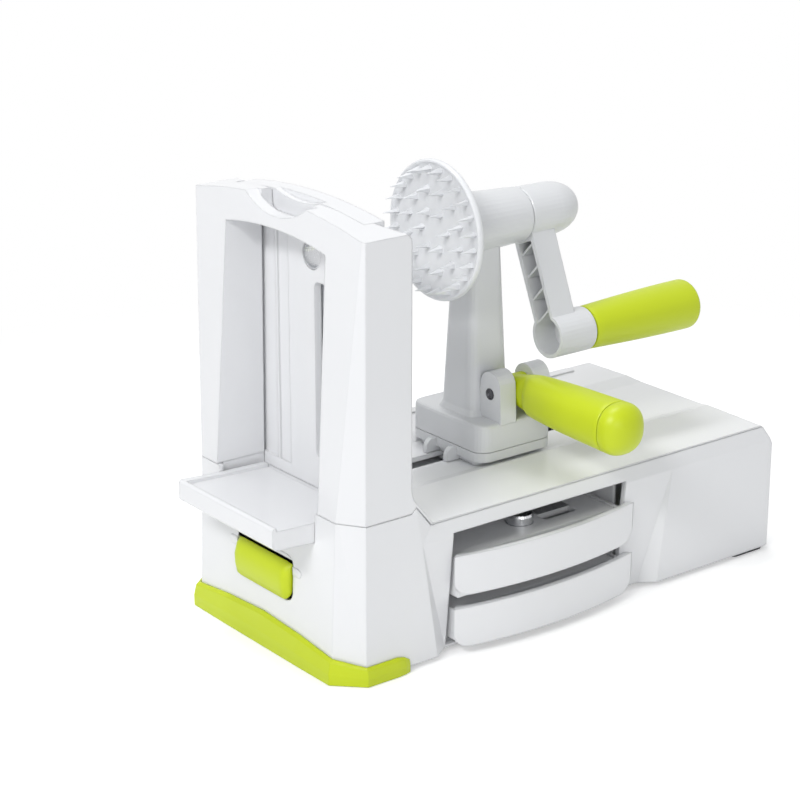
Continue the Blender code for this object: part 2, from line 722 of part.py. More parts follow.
def build_feet():
    for name, side in (("rear_foot_near", -1), ("rear_foot_far", 1)):
        y = sorted((side * FOOT_Y[0], side * FOOT_Y[1]))
        pad = prism(name, rounded(FOOT_X[0], y[0], FOOT_X[1], y[1], 0.003, 3), 0, FOOT_H)
        middle = ((FOOT_X[0] + FOOT_X[1]) / 2, sum(y) / 2)
        add(pad, prism("foot_plug", circle(*middle, 0.0022, 16), FOOT_H - 0.0005, PLATE_Z[1] + 0.0010))
        piece(pad, "base", "rubber")


def build_foot_band():
    """Green band round the front foot: a swept section that follows the base outline."""
    stations = []
    z_side, z_corner, z_middle = BAND_TOP

    def station(x, y, out, top, thick):
        """One section: inner foot, outer foot, outer shoulder, inner top."""
        nx, ny = out
        low = BAND_LIFT
        foot = thick
        bulge = thick * 1.05
        lean = front_x(top) - front_x(0) if abs(nx) > 0.3 else 0.0
        return [(x, y, low), (x + nx * foot, y + ny * foot, low),
                (x + nx * bulge, y + ny * bulge, low + (top - low) * 0.45),
                (x + nx * thick * 0.72 + lean * 0.5, y + ny * thick * 0.72, top - 0.0012),
                (x + nx * thick * 0.30 + lean, y + ny * thick * 0.30, top),
                (x + lean, y, top)]

    half = HALF_W + GAP
    side_t = BAND_T * 0.75
    front = front_x(0) - GAP
    near = [((BAND_SIDE_X, -half), (0, -1), BASE_Z + 0.004, side_t * 0.35),
            ((BAND_SIDE_X - 0.003, -half), (0, -1), z_side - 0.001, side_t * 0.8),
            ((BAND_SIDE_X - 0.007, -half), (0, -1), z_side, side_t),
            ((CORNER_X - 0.0003, -half), (-0.25, -0.97), z_side, side_t),
            ((front, -CORNER_Y - 0.0006), (-0.9, -0.43), z_corner, BAND_T),
            ((front, -0.030), (-1, 0), z_corner + 0.62 * (z_middle - z_corner), BAND_T)]
    for (x, y), out, top, thick in near:
        stations.append(station(x, y, out, top, thick))
    stations.append(station(front, 0, (-1, 0), z_middle, BAND_T))
    for (x, y), out, top, thick in reversed(near):
        stations.append(station(x, -y, (out[0], -out[1]), top, thick))
    piece(solid("front_foot_band", stations), "base", "lime")


def build_landing_tray():
    side = [(TRAY_FRONT, TRAY_BOTTOM[0] + 0.0015), (TRAY_FRONT + 0.0015, TRAY_BOTTOM[0]),
            (FRONT_X - 0.0025, TRAY_BOTTOM[1]), (TRAY_REAR, TRAY_BOTTOM[1]), (TRAY_REAR, SILL_Z + 0.0018),
            (FRONT_X, TRAY_TOP - 0.0014), (TRAY_FRONT + 0.0012, TRAY_TOP), (TRAY_FRONT, TRAY_TOP - 0.0012)]
    tray = prism("landing_tray", side, -TRAY_HALF, TRAY_HALF, "Y")
    # The sunk floor slopes down to the cutting plate and leaves a rim at the front and far side
    floor = hull("tray_floor", [(x, y, z) for y in (-TRAY_HALF - 0.002, TRAY_HALF - 0.004)
                                for x, z in ((TRAY_FRONT + TRAY_RIM, TRAY_FLOOR),
                                             (TRAY_FRONT + TRAY_RIM, 0.090),
                                             (0.002, 0.090), (0.002, SILL_Z + 0.0002))])
    cut(tray, floor)
    cut(tray, box("tray_hollow", (FRONT_X + 0.004, -TRAY_HALF + 0.003, 0.060),
                  (TRAY_REAR - 0.003, TRAY_HALF - 0.003, 0.0702)))
    piece(tray, "base", "white")


def build_bay_liner():
    y0 = -(HALF_W - VALLEY_IN - WALL) + 2 * GAP
    liner = box("drawer_liner", (BAY_X0 - LINER, y0, PLATE_Z[1] + GAP),
                (BAY_X1 + LINER, BAY_BACK, BAY_TOP + LINER))
    cut(liner, box("liner_room", (BAY_X0, y0 - 0.01, BAY_FLOOR), (BAY_X1, BAY_BACK - LINER, BAY_TOP)))
    rails = []
    for x0, x1 in ((BAY_X0 - 0.0005, BAY_X0 + RAIL_W), (BAY_X1 - RAIL_W, BAY_X1 + 0.0005)):
        rails.append(box("drawer_rail", (x0, y0, RAIL_Z - RAIL_T), (x1, BAY_BACK - LINER + 0.0005, RAIL_Z)))
    # Short guide rails that keep the upper drawer from tipping
    for x0, x1 in ((BAY_X0 - 0.0005, BAY_X0 + 0.0016), (BAY_X1 - 0.0016, BAY_X1 + 0.0005)):
        rails.append(box("guide_rail", (x0, y0, BAY_TOP - 0.0045),
                         (x1, BAY_BACK - LINER + 0.0005, BAY_TOP - 0.0030)))
    add(liner, *rails)
    piece(liner, "base", "white")


def build_suction():
    pad = turned("suction_pad", [(0, PAD_R), (PAD_LIP * 0.6, PAD_R), (PAD_LIP, PAD_R - 0.0012),
                                 (PAD_LIP + 0.0005, PAD_BODY_R), (PLATE_Z[1], PAD_BODY_R),
                                 (PLATE_Z[1], PAD_WELL_R), (PAD_SKIN, PAD_WELL_R)], "Z", (0, 0), 48)
    piece(pad, "base", "rubber")

    # Bell that guides the stem, on a plate over the pad
    low = PLATE_Z[1] + GAP
    bell = prism("suction_bell", rounded(front_x(0) + WALL + 0.0015, -0.034, BAY_X0 - LINER - 0.0010, 0.034,
                                         0.006), low, low + 0.002)
    add(bell, turned("bell_dome", [(low + 0.001, BELL_R), (low + 0.007, BELL_R),
                                   (low + 0.011, BELL_R - 0.006),
                                   (low + 0.022, STEM_R + 0.0028)], "Z", (0, 0), 32))
    cut(bell, turned("bell_room", [(0, PAD_WELL_R + 0.0003), (low + 0.0055, PAD_WELL_R + 0.0003),
                                   (low + 0.0085, 0.006)], "Z", (0, 0), 32))
    cut(bell, prism("stem_bore", circle(0, 0, STEM_R + GAP, 24), 0, 0.05))
    ribs = []
    for angle in (45, 135, 225, 315):
        rib = prism("bell_rib", [(BELL_R - 0.003, low + 0.001), (0.027, low + 0.001), (0.027, low + 0.003),
                                 (BELL_R - 0.003, low + 0.0085)], -0.0008, 0.0008, "Y")
        rib.data.transform(Matrix.Rotation(math.radians(angle), 4, "Z"))
        ribs.append(rib)
    add(bell, *ribs)
    piece(bell, "base", "light_grey")

    # Stem: foot in the pad, shaft, and an arm that lies on the cam
    foot_z = PAD_SKIN + GAP + STEM_LIFT
    cam_top = LEVER_AXLE[1] + CAM_THROW * math.cos(math.radians(CAM_PHASE)) + CAM_R
    arm_z = cam_top + GAP
    stem = turned("suction_stem", [(foot_z, STEM_FOOT_R), (foot_z + 0.0018, STEM_FOOT_R),
                                   (foot_z + 0.0030, STEM_R + 0.001), (foot_z + 0.0030, STEM_R),
                                   (arm_z + 0.001, STEM_R)], "Z", (0, 0), 24)
    arm = [(front_x(arm_z) + WALL + 0.0004, -0.0085), (-0.006, -0.0085), (0.0045, -0.004), (0.0045, 0.004),
           (-0.006, 0.0085), (front_x(arm_z) + WALL + 0.0004, 0.0085)]
    add(stem, prism("stem_arm", arm, arm_z, arm_z + 0.0042))
    piece(stem, "suction_stem", "light_grey")

    axle = turned("suction_axle", [(-LEVER_HALF - 0.0058, AXLE_R), (LEVER_HALF + 0.0058, AXLE_R)], "Y",
                  LEVER_AXLE, 16)
    piece(axle, "base", "steel")
    build_suction_lever()


def build_suction_lever():
    ax, az = LEVER_AXLE
    hub_r = LEVER_Z[1] - az
    # The plate hangs from the hub and swells towards its lower edge
    low, high = LEVER_Z
    section = [(ax + 0.0012, az), (ax - hub_r * 0.8, az + hub_r * 0.6), (ax - 0.0052, az - 0.0010),
               (ax - 0.0063, az - 0.0060), (ax - 0.0060, low + 0.0025), (ax - 0.0046, low + 0.0005),
               (ax - 0.0030, low), (ax - 0.0012, low + 0.0012), (ax + 0.0006, az - 0.0040)]
    lever = prism("suction_lever", section, -LEVER_HALF, LEVER_HALF, "Y")
    outline = rounded(-LEVER_HALF, low - 0.001, LEVER_HALF, high + 0.004, 0.0060, 5)
    trim(lever, prism("lever_outline", outline, -0.050, 0.0, "X"))
    add(lever, prism("lever_hub", circle(ax, az, hub_r, 24), -LEVER_HALF + 0.0030, LEVER_HALF - 0.0030, "Y"))
    phase = math.radians(CAM_PHASE)
    cam = (ax + CAM_THROW * math.sin(phase), az + CAM_THROW * math.cos(phase))
    for side in (-1, 1):
        y = sorted((side * (CAM_Y - 0.002), side * (CAM_Y + 0.002)))
        add(lever, prism("lever_cam", circle(*cam, CAM_R, 24), y[0], y[1], "Y"))
    cut(lever, prism("lever_bore", circle(ax, az, AXLE_R + GAP, 16), -0.03, 0.03, "Y"))
    piece(lever, "suction_lever", "lime")


# Blade insert and stored inserts

def build_blade_insert():
    x0, x1 = INSERT_X
    frame = box("blade_frame", (x0, -INSERT_HALF, INSERT_FOOT), (x1, INSERT_HALF, CAP_Z + 0.001))
    crown = [(-INSERT_HALF, CAP_Z), (INSERT_HALF, CAP_Z)]
    crown += [(y, crown_height(y) - 0.0002) for y in [INSERT_HALF * (1 - i / 9) for i in range(19)]]
    add(frame, prism("insert_cap", crown, CAP_FRONT, x1, "X"))
    # Finger edge of the cap
    cut(frame, prism("cap_dip", circle(0, CROWN_Z + 0.058, 0.0615, 72), CAP_FRONT - 0.01,
                     CAP_FRONT + 0.0030, "X"))
    # Sunk panels on the front, beside the raised middle
    for side in (-1, 1):
        wide = sorted((side * 0.0296, side * 0.0460))
        slim = sorted((side * 0.0190, side * 0.0276))
        cut(frame, box("panel_wide", (x0 - 0.001, wide[0], INSERT_FOOT + 0.006),
                       (x0 + 0.0014, wide[1], CAP_Z - 0.006)))
        cut(frame, box("panel_slim", (x0 - 0.001, slim[0], INSERT_FOOT + 0.006),
                       (x0 + 0.0007, slim[1], CAP_Z - 0.006)))
    # The slice passes the slot and slides down a ramp
    cut(frame, prism("ring_hole", circle(0, AXIS_Z, RING_R + GAP, 32), x0 - 0.01, x1 + 0.01, "X"))
    slot = rounded(CUT_SLOT[0], CUT_Z[0], CUT_SLOT[1], CUT_Z[1], 0.003, 4)
    cut(frame, prism("cut_slot", slot, x0 - 0.01, x1 + 0.01, "X"))
    ramp = hull("cut_ramp", [(x1 + 0.001, CUT_SLOT[0] - 0.001, CUT_Z[0] - 0.002),
                             (x1 + 0.001, CUT_SLOT[0] - 0.001, CUT_Z[1]),
                             (x0 - 0.001, CUT_SLOT[0] - 0.014, CUT_Z[0] + 0.002),
                             (x0 - 0.001, CUT_SLOT[0] - 0.014, CUT_Z[1] - 0.010),
                             (x0 - 0.001, CUT_SLOT[0] + 0.001, CUT_Z[0] - 0.002),
                             (x0 - 0.001, CUT_SLOT[0] + 0.001, CUT_Z[1])])
    cut(frame, ramp)
    for z in (CUT_Z[0] + 0.006, CUT_Z[1] - 0.006):
        cut(frame, prism("knife_hole", circle(CUT_SLOT[1] + 0.0080, z, 0.0013, 12), x0 + 0.0012, x1 + 0.01,
                         "X"))
    piece(frame, "blade_insert", "white")

    knife_x = x1 + GAP
    edge = CUT_SLOT[1] - 0.0035
    outline = [(edge + KNIFE_W, CUT_Z[0] + 0.001), (edge + KNIFE_W, CUT_Z[1] - 0.001),
               (edge, CUT_Z[1] - 0.001), (edge, CUT_Z[0] + 0.001)]
    knife = prism("straight_knife", outline, knife_x, knife_x + KNIFE_T, "X")
    grind = hull("knife_grind", [(knife_x - 0.001, y, z) for z in (CUT_Z[0] - 0.002, CUT_Z[1] + 0.002)
                                 for y in (edge - 0.001, edge + 0.0022)]
                 + [(knife_x + KNIFE_T, edge - 0.001, z) for z in (CUT_Z[0] - 0.002, CUT_Z[1] + 0.002)])
    cut(knife, grind)
    for z in (CUT_Z[0] + 0.006, CUT_Z[1] - 0.006):
        cut(knife, prism("knife_way", circle(CUT_SLOT[1] + 0.0080, z, 0.0013, 12), knife_x - 0.01,
                         knife_x + 0.01, "X"))
    piece(knife, "blade_insert", "steel")
    for name, z in (("knife_screw_lower", CUT_Z[0] + 0.006), ("knife_screw_upper", CUT_Z[1] - 0.006)):
        top = knife_x + KNIFE_T + GAP
        profile = [(x0 + 0.0016, 0.0010), (top, 0.0010), (top, 0.0022), (top + 0.0006, 0.0022),
                   (top + 0.0011, 0.0012)]
        piece(turned(name, profile, "X", (CUT_SLOT[1] + 0.0080, z), 12), "blade_insert", "steel")
    ring = ring_solid("coring_ring", x0 + 0.0006, x1 + RING_OUT, "X", (0, AXIS_Z))
    piece(ring, "blade_insert", "steel")


def ring_solid(name, low, high, axis, centre):
    """Thin steel tube, ground sharp at its far end."""
    inner = RING_R - RING_T
    profile = [(low, inner), (low, RING_R), (high - 0.0012, RING_R), (high, inner + 0.0001), (high, inner)]
    return turned(name, profile, axis, centre, 32, loop=True)


STORED_X = (0.0365, 0.1365)
STORED_Y = (-0.0640, 0.0500)
STORED_RING = (0.0880, -0.0480)


def build_stored_insert(body, prefix, top, ring):
    """A second insert that lies in a drawer, ring end towards the panel."""
    plate = prism(prefix + "_insert", rounded(STORED_X[0], STORED_Y[0], STORED_X[1], STORED_Y[1], 0.002, 2),
                  top - 0.0035, top)
    slot_x = (STORED_RING[0] + RING_R + 0.0045, STORED_X[1] - 0.0165)
    y = STORED_RING[1]
    cut(plate, prism("stored_slot", rounded(slot_x[0], y - 0.0060, slot_x[1], y + 0.0010, 0.0015, 2),
                     top - 0.01, top + 0.01))
    if ring:
        cut(plate, prism("stored_ring_hole", circle(*STORED_RING, RING_R + GAP, 32), top - 0.01, top + 0.01))
        piece(ring_solid(prefix + "_ring", top - 0.0030, top + RING_OUT, "Z", STORED_RING), body, "steel")
    # Cap of the stored insert, turned down into the back of the drawer
    add(plate, box("stored_cap", (STORED_X[0], STORED_Y[1] - 0.004, top - 0.0110),
                   (STORED_X[1], STORED_Y[1], top - 0.001)))
    piece(plate, body, "white")
    knife = hull(prefix + "_knife", [(x, y + dy, top + dz) for x in (slot_x[0] + 0.0005, slot_x[1] - 0.0005)
                                     for dy, dz in ((0.0014, GAP), (0.0080, GAP), (0.0080, GAP + KNIFE_T),
                                                    (-0.0010, GAP + KNIFE_T))])
    piece(knife, body, "steel")


def bowed_panel(name, low, high):
    """Curved front of a drawer, with rounded lower corners."""
    middle = (PANEL_X0 + PANEL_X1) / 2
    half = (PANEL_X1 - PANEL_X0) / 2
    radius = (half ** 2 + PANEL_BOW ** 2) / (2 * PANEL_BOW)
    rise = radius - PANEL_BOW

    def front(x, inset):
        return PANEL_Y + rise - math.sqrt((radius - inset) ** 2 - (x - middle) ** 2)

    xs = [PANEL_X0 + (PANEL_X1 - PANEL_X0) * i / 16 for i in range(17)]
    outline = [(x, front(x, 0)) for x in xs] + [(x, front(x, PANEL_T)) for x in reversed(xs[1:-1])]
    outline += [(PANEL_X0 + 0.0028, PANEL_Y + PANEL_T * 0.9)]
    outline.insert(17, (PANEL_X1 - 0.0028, PANEL_Y + PANEL_T * 0.9))
    panel = prism(name, outline, low, high)
    r = PANEL_R
    face = [(PANEL_X0, high + 0.001), (PANEL_X0, low + r)] + arc(PANEL_X0 + r, low + r, r, 180, 270, 6)[1:]
    face += arc(PANEL_X1 - r, low + r, r, 270, 360, 6) + [(PANEL_X1, high + 0.001)]
    trim(panel, prism(name + "_face", face, -0.1, 0.0, "Y"))
    return panel


def build_drawers():
    rooms = (("upper_drawer", UPPER_PANEL, RAIL_Z + GAP, 0.0),
             ("lower_drawer", LOWER_PANEL, BAY_FLOOR + GAP, 0.0))
    for name, (low, high), floor, _ in rooms:
        drawer = bowed_panel(name, low, high)
        x0 = BAY_X0 + DRAWER_PLAY + 0.0016
        x1 = BAY_X1 - DRAWER_PLAY - 0.0016
        insert_z = high - 0.0027
        tub = box(name + "_tub", (x0, PANEL_Y + 0.0008, floor), (x1, DRAWER_BACK, insert_z - 0.0038))
        cut(tub, box(name + "_room", (x0 + DRAWER_T, PANEL_Y + 0.0036, floor + DRAWER_T),
                     (x1 - DRAWER_T, DRAWER_BACK - DRAWER_T, 0.1)))
        add(drawer, tub)
        # Low cheeks behind the panel that keep the insert in place
        for cheek in ((x0, x0 + DRAWER_T), (x1 - DRAWER_T, x1)):
            add(drawer, box(name + "_cheek", (cheek[0], PANEL_Y + 0.0015, insert_z - 0.006),
                            (cheek[1], 0.040, high - 0.0020)))
        piece(drawer, name, "white")
        build_stored_insert(name, name[:5], insert_z, name == "upper_drawer")


# Carriage

def build_carriage_base():
    x0, x1 = BLOCK_X
    low, joint, _ = BLOCK_Z
    base = prism("carriage_base", rounded(x0, -BLOCK_HALF, x1, BLOCK_HALF, BLOCK_R, 6), low, joint - GAP / 2)
    add(base, prism("shoe", rounded(x0 + 0.002, -SHOE_HALF, x1 - 0.002, SHOE_HALF, 0.002, 2),
                    CHANNEL_Z + GAP, low + 0.001))
    for side in (-1, 1):
        y = sorted((side * (LUG_Y - 0.0015), side * (LUG_Y + 0.0015)))
        lug = [(x0 + 0.002, CHANNEL_Z + GAP), (x0 - 0.0060, CHANNEL_Z + GAP)]
        lug += [(x, z) for x, z in reversed(arc(x0 - 0.0020, CHANNEL_Z + 0.0030, 0.0040, 90, 180,
                                                5))] + [(x0 + 0.002, CHANNEL_Z + 0.0070)]
        add(base, prism("front_lug", lug, y[0], y[1], "Y"))
    for x in (KEY_X[0] + 0.005, KEY_X[1] - 0.005):
        cut(base, prism("key_screw_way", circle(x, 0, SCREW_R + GAP, 12), 0.06, 0.09))
    piece(base, "carriage", "light_grey")

    key = box("carriage_key", (KEY_X[0], -SLOT_HALF + 2 * GAP, CHANNEL_Z - DECK_T - GAP - 0.001),
              (KEY_X[1], SLOT_HALF - 2 * GAP, CHANNEL_Z))
    top = CHANNEL_Z - DECK_T - GAP
    add(key, prism("key_flange", rounded(KEY_X[0], -KEY_HALF, KEY_X[1], KEY_HALF, 0.002, 2), top - KEY_T,
                   top))
    for x in (KEY_X[0] + 0.005, KEY_X[1] - 0.005):
        cut(key, prism("key_hole", circle(x, 0, SCREW_R + GAP, 12), 0.06, 0.09),
            prism("key_seat", circle(x, 0, HEAD_R + GAP, 16), 0.06, top - KEY_T + 0.0014))
    piece(key, "carriage", "light_grey")
    for name, x in (("key_screw_front", KEY_X[0] + 0.005), ("key_screw_rear", KEY_X[1] - 0.005)):
        seat = top - KEY_T + 0.0014 - GAP
        profile = [(seat - 0.0010, HEAD_R), (seat, HEAD_R), (seat, SCREW_R), (0.0860, SCREW_R), (0.0875, 0)]
        piece(turned(name, profile, "Z", (x, 0), 12), "carriage", "steel")


def build_carriage_column():
    x0, x1 = BLOCK_X
    _, joint, top = BLOCK_Z
    rings = []
    for z, inset in ((joint + GAP / 2, 0), (top - 0.0016, 0), (top - 0.0005, 0.0005), (top, 0.0016)):
        rings.append([(x, y, z) for x, y in rounded(x0 + inset, -BLOCK_HALF + inset, x1 - inset,
                                                    BLOCK_HALF - inset, BLOCK_R - inset, 6)])
    column = solid("carriage_column", rings)

    # Tapered column with a flared foot
    rings = []
    for z, grow in ((top - 0.002, 0.0020), (top + 0.0006, 0.0012), (top + 0.0030, 0.0002), (COLUMN_TOP, 0)):
        share = (z - top) / (COLUMN_TOP - top)
        half = (COLUMN_W[0] + (COLUMN_W[1] - COLUMN_W[0]) * share) / 2 + grow
        rings.append([(x, y, z) for x, y in rounded(COLUMN_X - half, -half, COLUMN_X + half, half, COLUMN_R,
                                                    5)])
    add(column, solid("column", rings))

    # Head that the shaft runs in
    h0, h1 = HEAD_X
    profile = [(h0, HEAD_R_FRONT - 0.001), (h0 + 0.001, HEAD_R_FRONT), (h0 + 0.014, HEAD_R_FRONT - 0.0003),
               (h1 - 0.0008, HEAD_R_REAR), (h1, HEAD_R_REAR - 0.0008)]
    add(column, turned("head", profile, "X", (0, AXIS_Z), 40))

    # Ears for the push handle
    for (e0, e1) in EAR_X:
        y0, y1 = EAR_Y
        radius = (y1 - y0) / 2
        ear = [(y0 - 0.0008, top - 0.001), (y1 + 0.0008, top - 0.001)]
        ear += [(y, z) for y, z in arc((y0 + y1) / 2, EAR_TOP - radius, radius, 0, 180, 10)]
        add(column, prism("ear", ear, e0, e1, "X"))
    cut(column, prism("pin_way", circle(PIN_Y, PIN_Z, PIN_R + GAP, 20), EAR_X[0][0] - 0.005,
                      EAR_X[1][1] - 0.0015, "X"))
    cut(column, prism("shaft_way", circle(0, AXIS_Z, BUSH_R + GAP, 32), h0 - 0.01, h1 + 0.01, "X"))
    for x in (KEY_X[0] + 0.005, KEY_X[1] - 0.005):
        cut(column, prism("column_screw_way", circle(x, 0, SCREW_R + GAP, 12), 0.06, 0.0885))
    piece(column, "carriage", "light_grey")

    # Bushes
    for name, x in (("shaft_bush_front", h0 + 0.0005), ("shaft_bush_rear", h1 - BUSH_L - 0.0005)):
        profile = [(x, SHAFT_R + GAP), (x, BUSH_R), (x + BUSH_L, BUSH_R), (x + BUSH_L, SHAFT_R + GAP)]
        piece(turned(name, profile, "X", (0, AXIS_Z), 24, loop=True), "carriage", "white")

    pin = turned("handle_pin", [(EAR_X[0][0] + 0.0005, PIN_R - 0.0004), (EAR_X[0][0] + 0.0009, PIN_R),
                                (EAR_X[1][1] - 0.0018, PIN_R)], "X", (PIN_Y, PIN_Z), 20)
    piece(pin, "carriage", "steel")


def handle_section(y, half_x, half_z, steps=24):
    """Soft square cross-section of the push handle at the distance y."""
    points = []
    for i in range(steps):
        angle = 2 * math.pi * i / steps
        c, s = math.cos(angle), math.sin(angle)
        power = 0.82
        points.append((HANDLE_X + half_x * math.copysign(abs(c) ** power, c), y,
                       PIN_Z + half_z * math.copysign(abs(s) ** power, s)))
    return points


def build_push_handle():
    tongue = (EAR_X[1][0] - EAR_X[0][1]) / 2 - GAP
    widths = [(PIN_Y - 0.0080, tongue, 0.0088), (PIN_Y - 0.0116, tongue, 0.0098), (-0.0345, 0.0080, 0.0103),
              (-0.0400, 0.0096, 0.0107), (-0.0550, 0.0112, 0.0115), (HANDLE_JOINT + GAP, 0.0123, 0.0124)]
    handle = solid("push_handle", [handle_section(y, hx, hz) for y, hx, hz in widths])
    root = prism("handle_root", circle(PIN_Y, PIN_Z, HANDLE_ROOT_R, 24), HANDLE_X - tongue,
                 HANDLE_X + tongue, "X")
    neck = hull("handle_neck", [(HANDLE_X + sx * tongue, y, z) for sx in (-1, 1)
                                for y, z in ((PIN_Y, PIN_Z - 0.0074), (PIN_Y, PIN_Z + 0.0070),
                                             (PIN_Y - 0.0082, PIN_Z - 0.0083),
                                             (PIN_Y - 0.0082, PIN_Z + 0.0083))])
    add(handle, root, neck)
    cut(handle, prism("handle_bore", circle(PIN_Y, PIN_Z, PIN_R + GAP, 20), 0.05, 0.15, "X"))
    piece(handle, "push_handle", "lime")

    # Domed end cap
    length = HANDLE_JOINT - HANDLE_TIP
    rings = []
    for share, swell in ((0, 0.985), (0.03, 1.0), (0.35, 1.0), (0.60, 0.93), (0.80, 0.78), (0.93, 0.52),
                         (0.985, 0.25)):
        rings.append(handle_section(HANDLE_JOINT - length * share, HANDLE_R * 0.985 * swell,
                                    HANDLE_R * swell))
    rings.append([(HANDLE_X, HANDLE_TIP, PIN_Z)])
    piece(solid("push_handle_cap", rings), "push_handle", "lime")


# Food holder, shaft and crank

def spike(name, x, y, z, width, length):
    """Pyramid tooth on the face of the food holder, pointing at the blade."""
    base = [(x, y - width, z), (x, y, z - width * 0.7), (x, y + width, z), (x, y, z + width * 0.7)]
    return solid(name, [base, [(x - length, y, z)]])


def build_food_holder():
    r = DISC_R
    x = DISC_X
    front = x - DISC_T / 2
    back = x + DISC_T / 2
    profile = [(front, r * 0.88), (front - 0.0016, r * 0.955), (front - 0.0016, r * 0.98),
               (front - 0.0006, r),
               (front + 0.0012, r), (back, r * 0.94), (back, 0.0100), (HEAD_X[0] - GAP, 0.0085)]
    disc = turned("food_holder", profile, "X", (0, AXIS_Z), 64)
    rows = ((20, 0.80, 0.0027, SPIKE_L), (10, 0.47, 0.0025, SPIKE_L * 0.9), (5, 0.18, 0.0022, SPIKE_L * 0.8))
    for count, share, width, length in rows:
        for i in range(count):
            angle = 2 * math.pi * (i + 0.5) / count
            tooth = spike("tooth", front + 0.0008, 0, 0, width, length + 0.0008)
            tooth.data.transform(Matrix.Translation((0, 0, r * share)))
            tooth.data.transform(Matrix.Rotation(angle, 4, "X"))
            tooth.data.transform(Matrix.Translation((0, 0, AXIS_Z)))
            add(disc, tooth)
    cut(disc, prism("holder_socket", circle(0, AXIS_Z, SHAFT_R + GAP, 24), x - 0.0002, 0.1, "X"))
    piece(disc, "crank", "light_grey")

    shaft = turned("drive_shaft", [(x + GAP, SHAFT_R), (HUB_X[0] + 0.0150, SHAFT_R)], "X", (0, AXIS_Z), 24)
    piece(shaft, "crank", "steel")


def build_crank():
    h0, h1 = HUB_X
    nose = 0.0175
    profile = [(h0, HUB_R - 0.0006), (h0 + 0.0006, HUB_R)]
    for i in range(9):
        share = i / 8
        angle = share * math.pi / 2
        profile.append((h1 - nose + nose * math.sin(angle), HUB_R * math.cos(angle) ** 0.75 if i < 8 else 0))
    crank = turned("crank_arm", profile, "X", (0, AXIS_Z), 40)

    # Arm and boss are drawn hanging straight down, then turned to the resting angle
    down = AXIS_Z - CRANK_R
    arm = prism("arm", [(-ARM_W / 2 * 1.05, AXIS_Z - 0.004), (-ARM_W / 2, down), (ARM_W / 2, down),
                        (ARM_W / 2 * 1.05, AXIS_Z - 0.004)],
                h0, h0 + ARM_T, "X")
    boss = turned("boss", [(h0, BOSS_R), (BOSS_END - 0.0006, BOSS_R), (BOSS_END, BOSS_R - 0.0006)], "X",
                  (0, down), 32)
    inner = ARM_W / 2 - ARM_WALL
    cup_r = BOSS_R - ARM_WALL
    start = math.degrees(math.acos(inner / cup_r))
    outline = [(inner * 0.92, AXIS_Z - HUB_R - 0.0012), (-inner * 0.92, AXIS_Z - HUB_R - 0.0012)]
    outline += arc(0, down, cup_r, 180 - start, 360 + start, 22)
    add(crank, arm, boss)
    cut(crank, prism("arm_trough", outline, h0 - 0.01, h0 + ARM_T - ARM_WALL, "X"))
    # Slanted webs across the trough
    for i in range(4):
        z = AXIS_Z - HUB_R - 0.0045 - i * 0.0112
        web = prism("arm_web", [(-ARM_W / 2 + 0.0006, z + 0.0022), (-ARM_W / 2 + 0.0006, z + 0.0034),
                                (ARM_W / 2 - 0.0006, z - 0.0022), (ARM_W / 2 - 0.0006, z - 0.0034)],
                    h0 + 0.0012, h0 + ARM_T - 0.0006, "X")
        add(crank, web)
    cut(crank, prism("crank_socket", circle(0, AXIS_Z, SHAFT_R + GAP, 24), h0 - 0.01, h0 + 0.0150 + GAP, "X"))
    cut(crank, prism("grip_pin_bore", circle(0, down, GRIP_PIN_R + GAP, 16), h0 + ARM_T + 0.0002,
                     BOSS_END + 0.01, "X"))
    swing = (Matrix.Translation((0, 0, AXIS_Z)) @ Matrix.Rotation(-crank_rad, 4,
                                                                  "X") @ Matrix.Translation((0, 0, -AXIS_Z)))
    turn(crank, swing)
    piece(crank, "crank", "light_grey")

    place = (BOSS_Y, BOSS_Z)
    pin = turned("grip_pin", [(h0 + ARM_T + 0.0005, GRIP_PIN_R), (GRIP_X[1] - 0.016, GRIP_PIN_R),
                              (GRIP_X[1] - 0.015, GRIP_PIN_R - 0.0008)], "X", place, 16)
    piece(pin, "crank", "steel")

    g0, g1 = GRIP_X
    profile = [(g0, GRIP_R[0] - 0.0008), (g0 + 0.0008, GRIP_R[0])]
    for i in range(1, 5):
        share = i / 5
        profile.append((g0 + (g1 - 0.012 - g0) * share,
                        GRIP_R[0] + (GRIP_R[1] - GRIP_R[0]) * math.sin(share * math.pi / 2)))
    for i in range(7):
        angle = i / 6 * math.pi / 2
        radius = GRIP_R[1] - 0.0085 * (1 - math.cos(angle)) if i < 6 else 0
        profile.append((g1 - 0.0085 + 0.0085 * math.sin(angle), radius if i < 6 else 0))
    grip = turned("crank_grip", profile, "X", place, 32)
    cut(grip, prism("grip_bore", circle(*place, GRIP_PIN_R + GAP, 16), g0 - 0.01, g1 - 0.014, "X"))
    piece(grip, "crank_grip", "lime")


clear_scene()
make_materials()
make_bodies()
build_base_body()
build_deck_tower()
build_bottom_plate()
build_screws()
build_feet()
build_foot_band()
build_landing_tray()
build_bay_liner()
build_suction()
build_blade_insert()
build_drawers()
build_carriage_base()
build_carriage_column()
build_push_handle()
build_food_holder()
build_crank()
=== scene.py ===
"""Looks for the spiralizer: materials, fine mouldings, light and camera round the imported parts."""
import json
import math

import bmesh
import bpy
from mathutils import Matrix, Vector

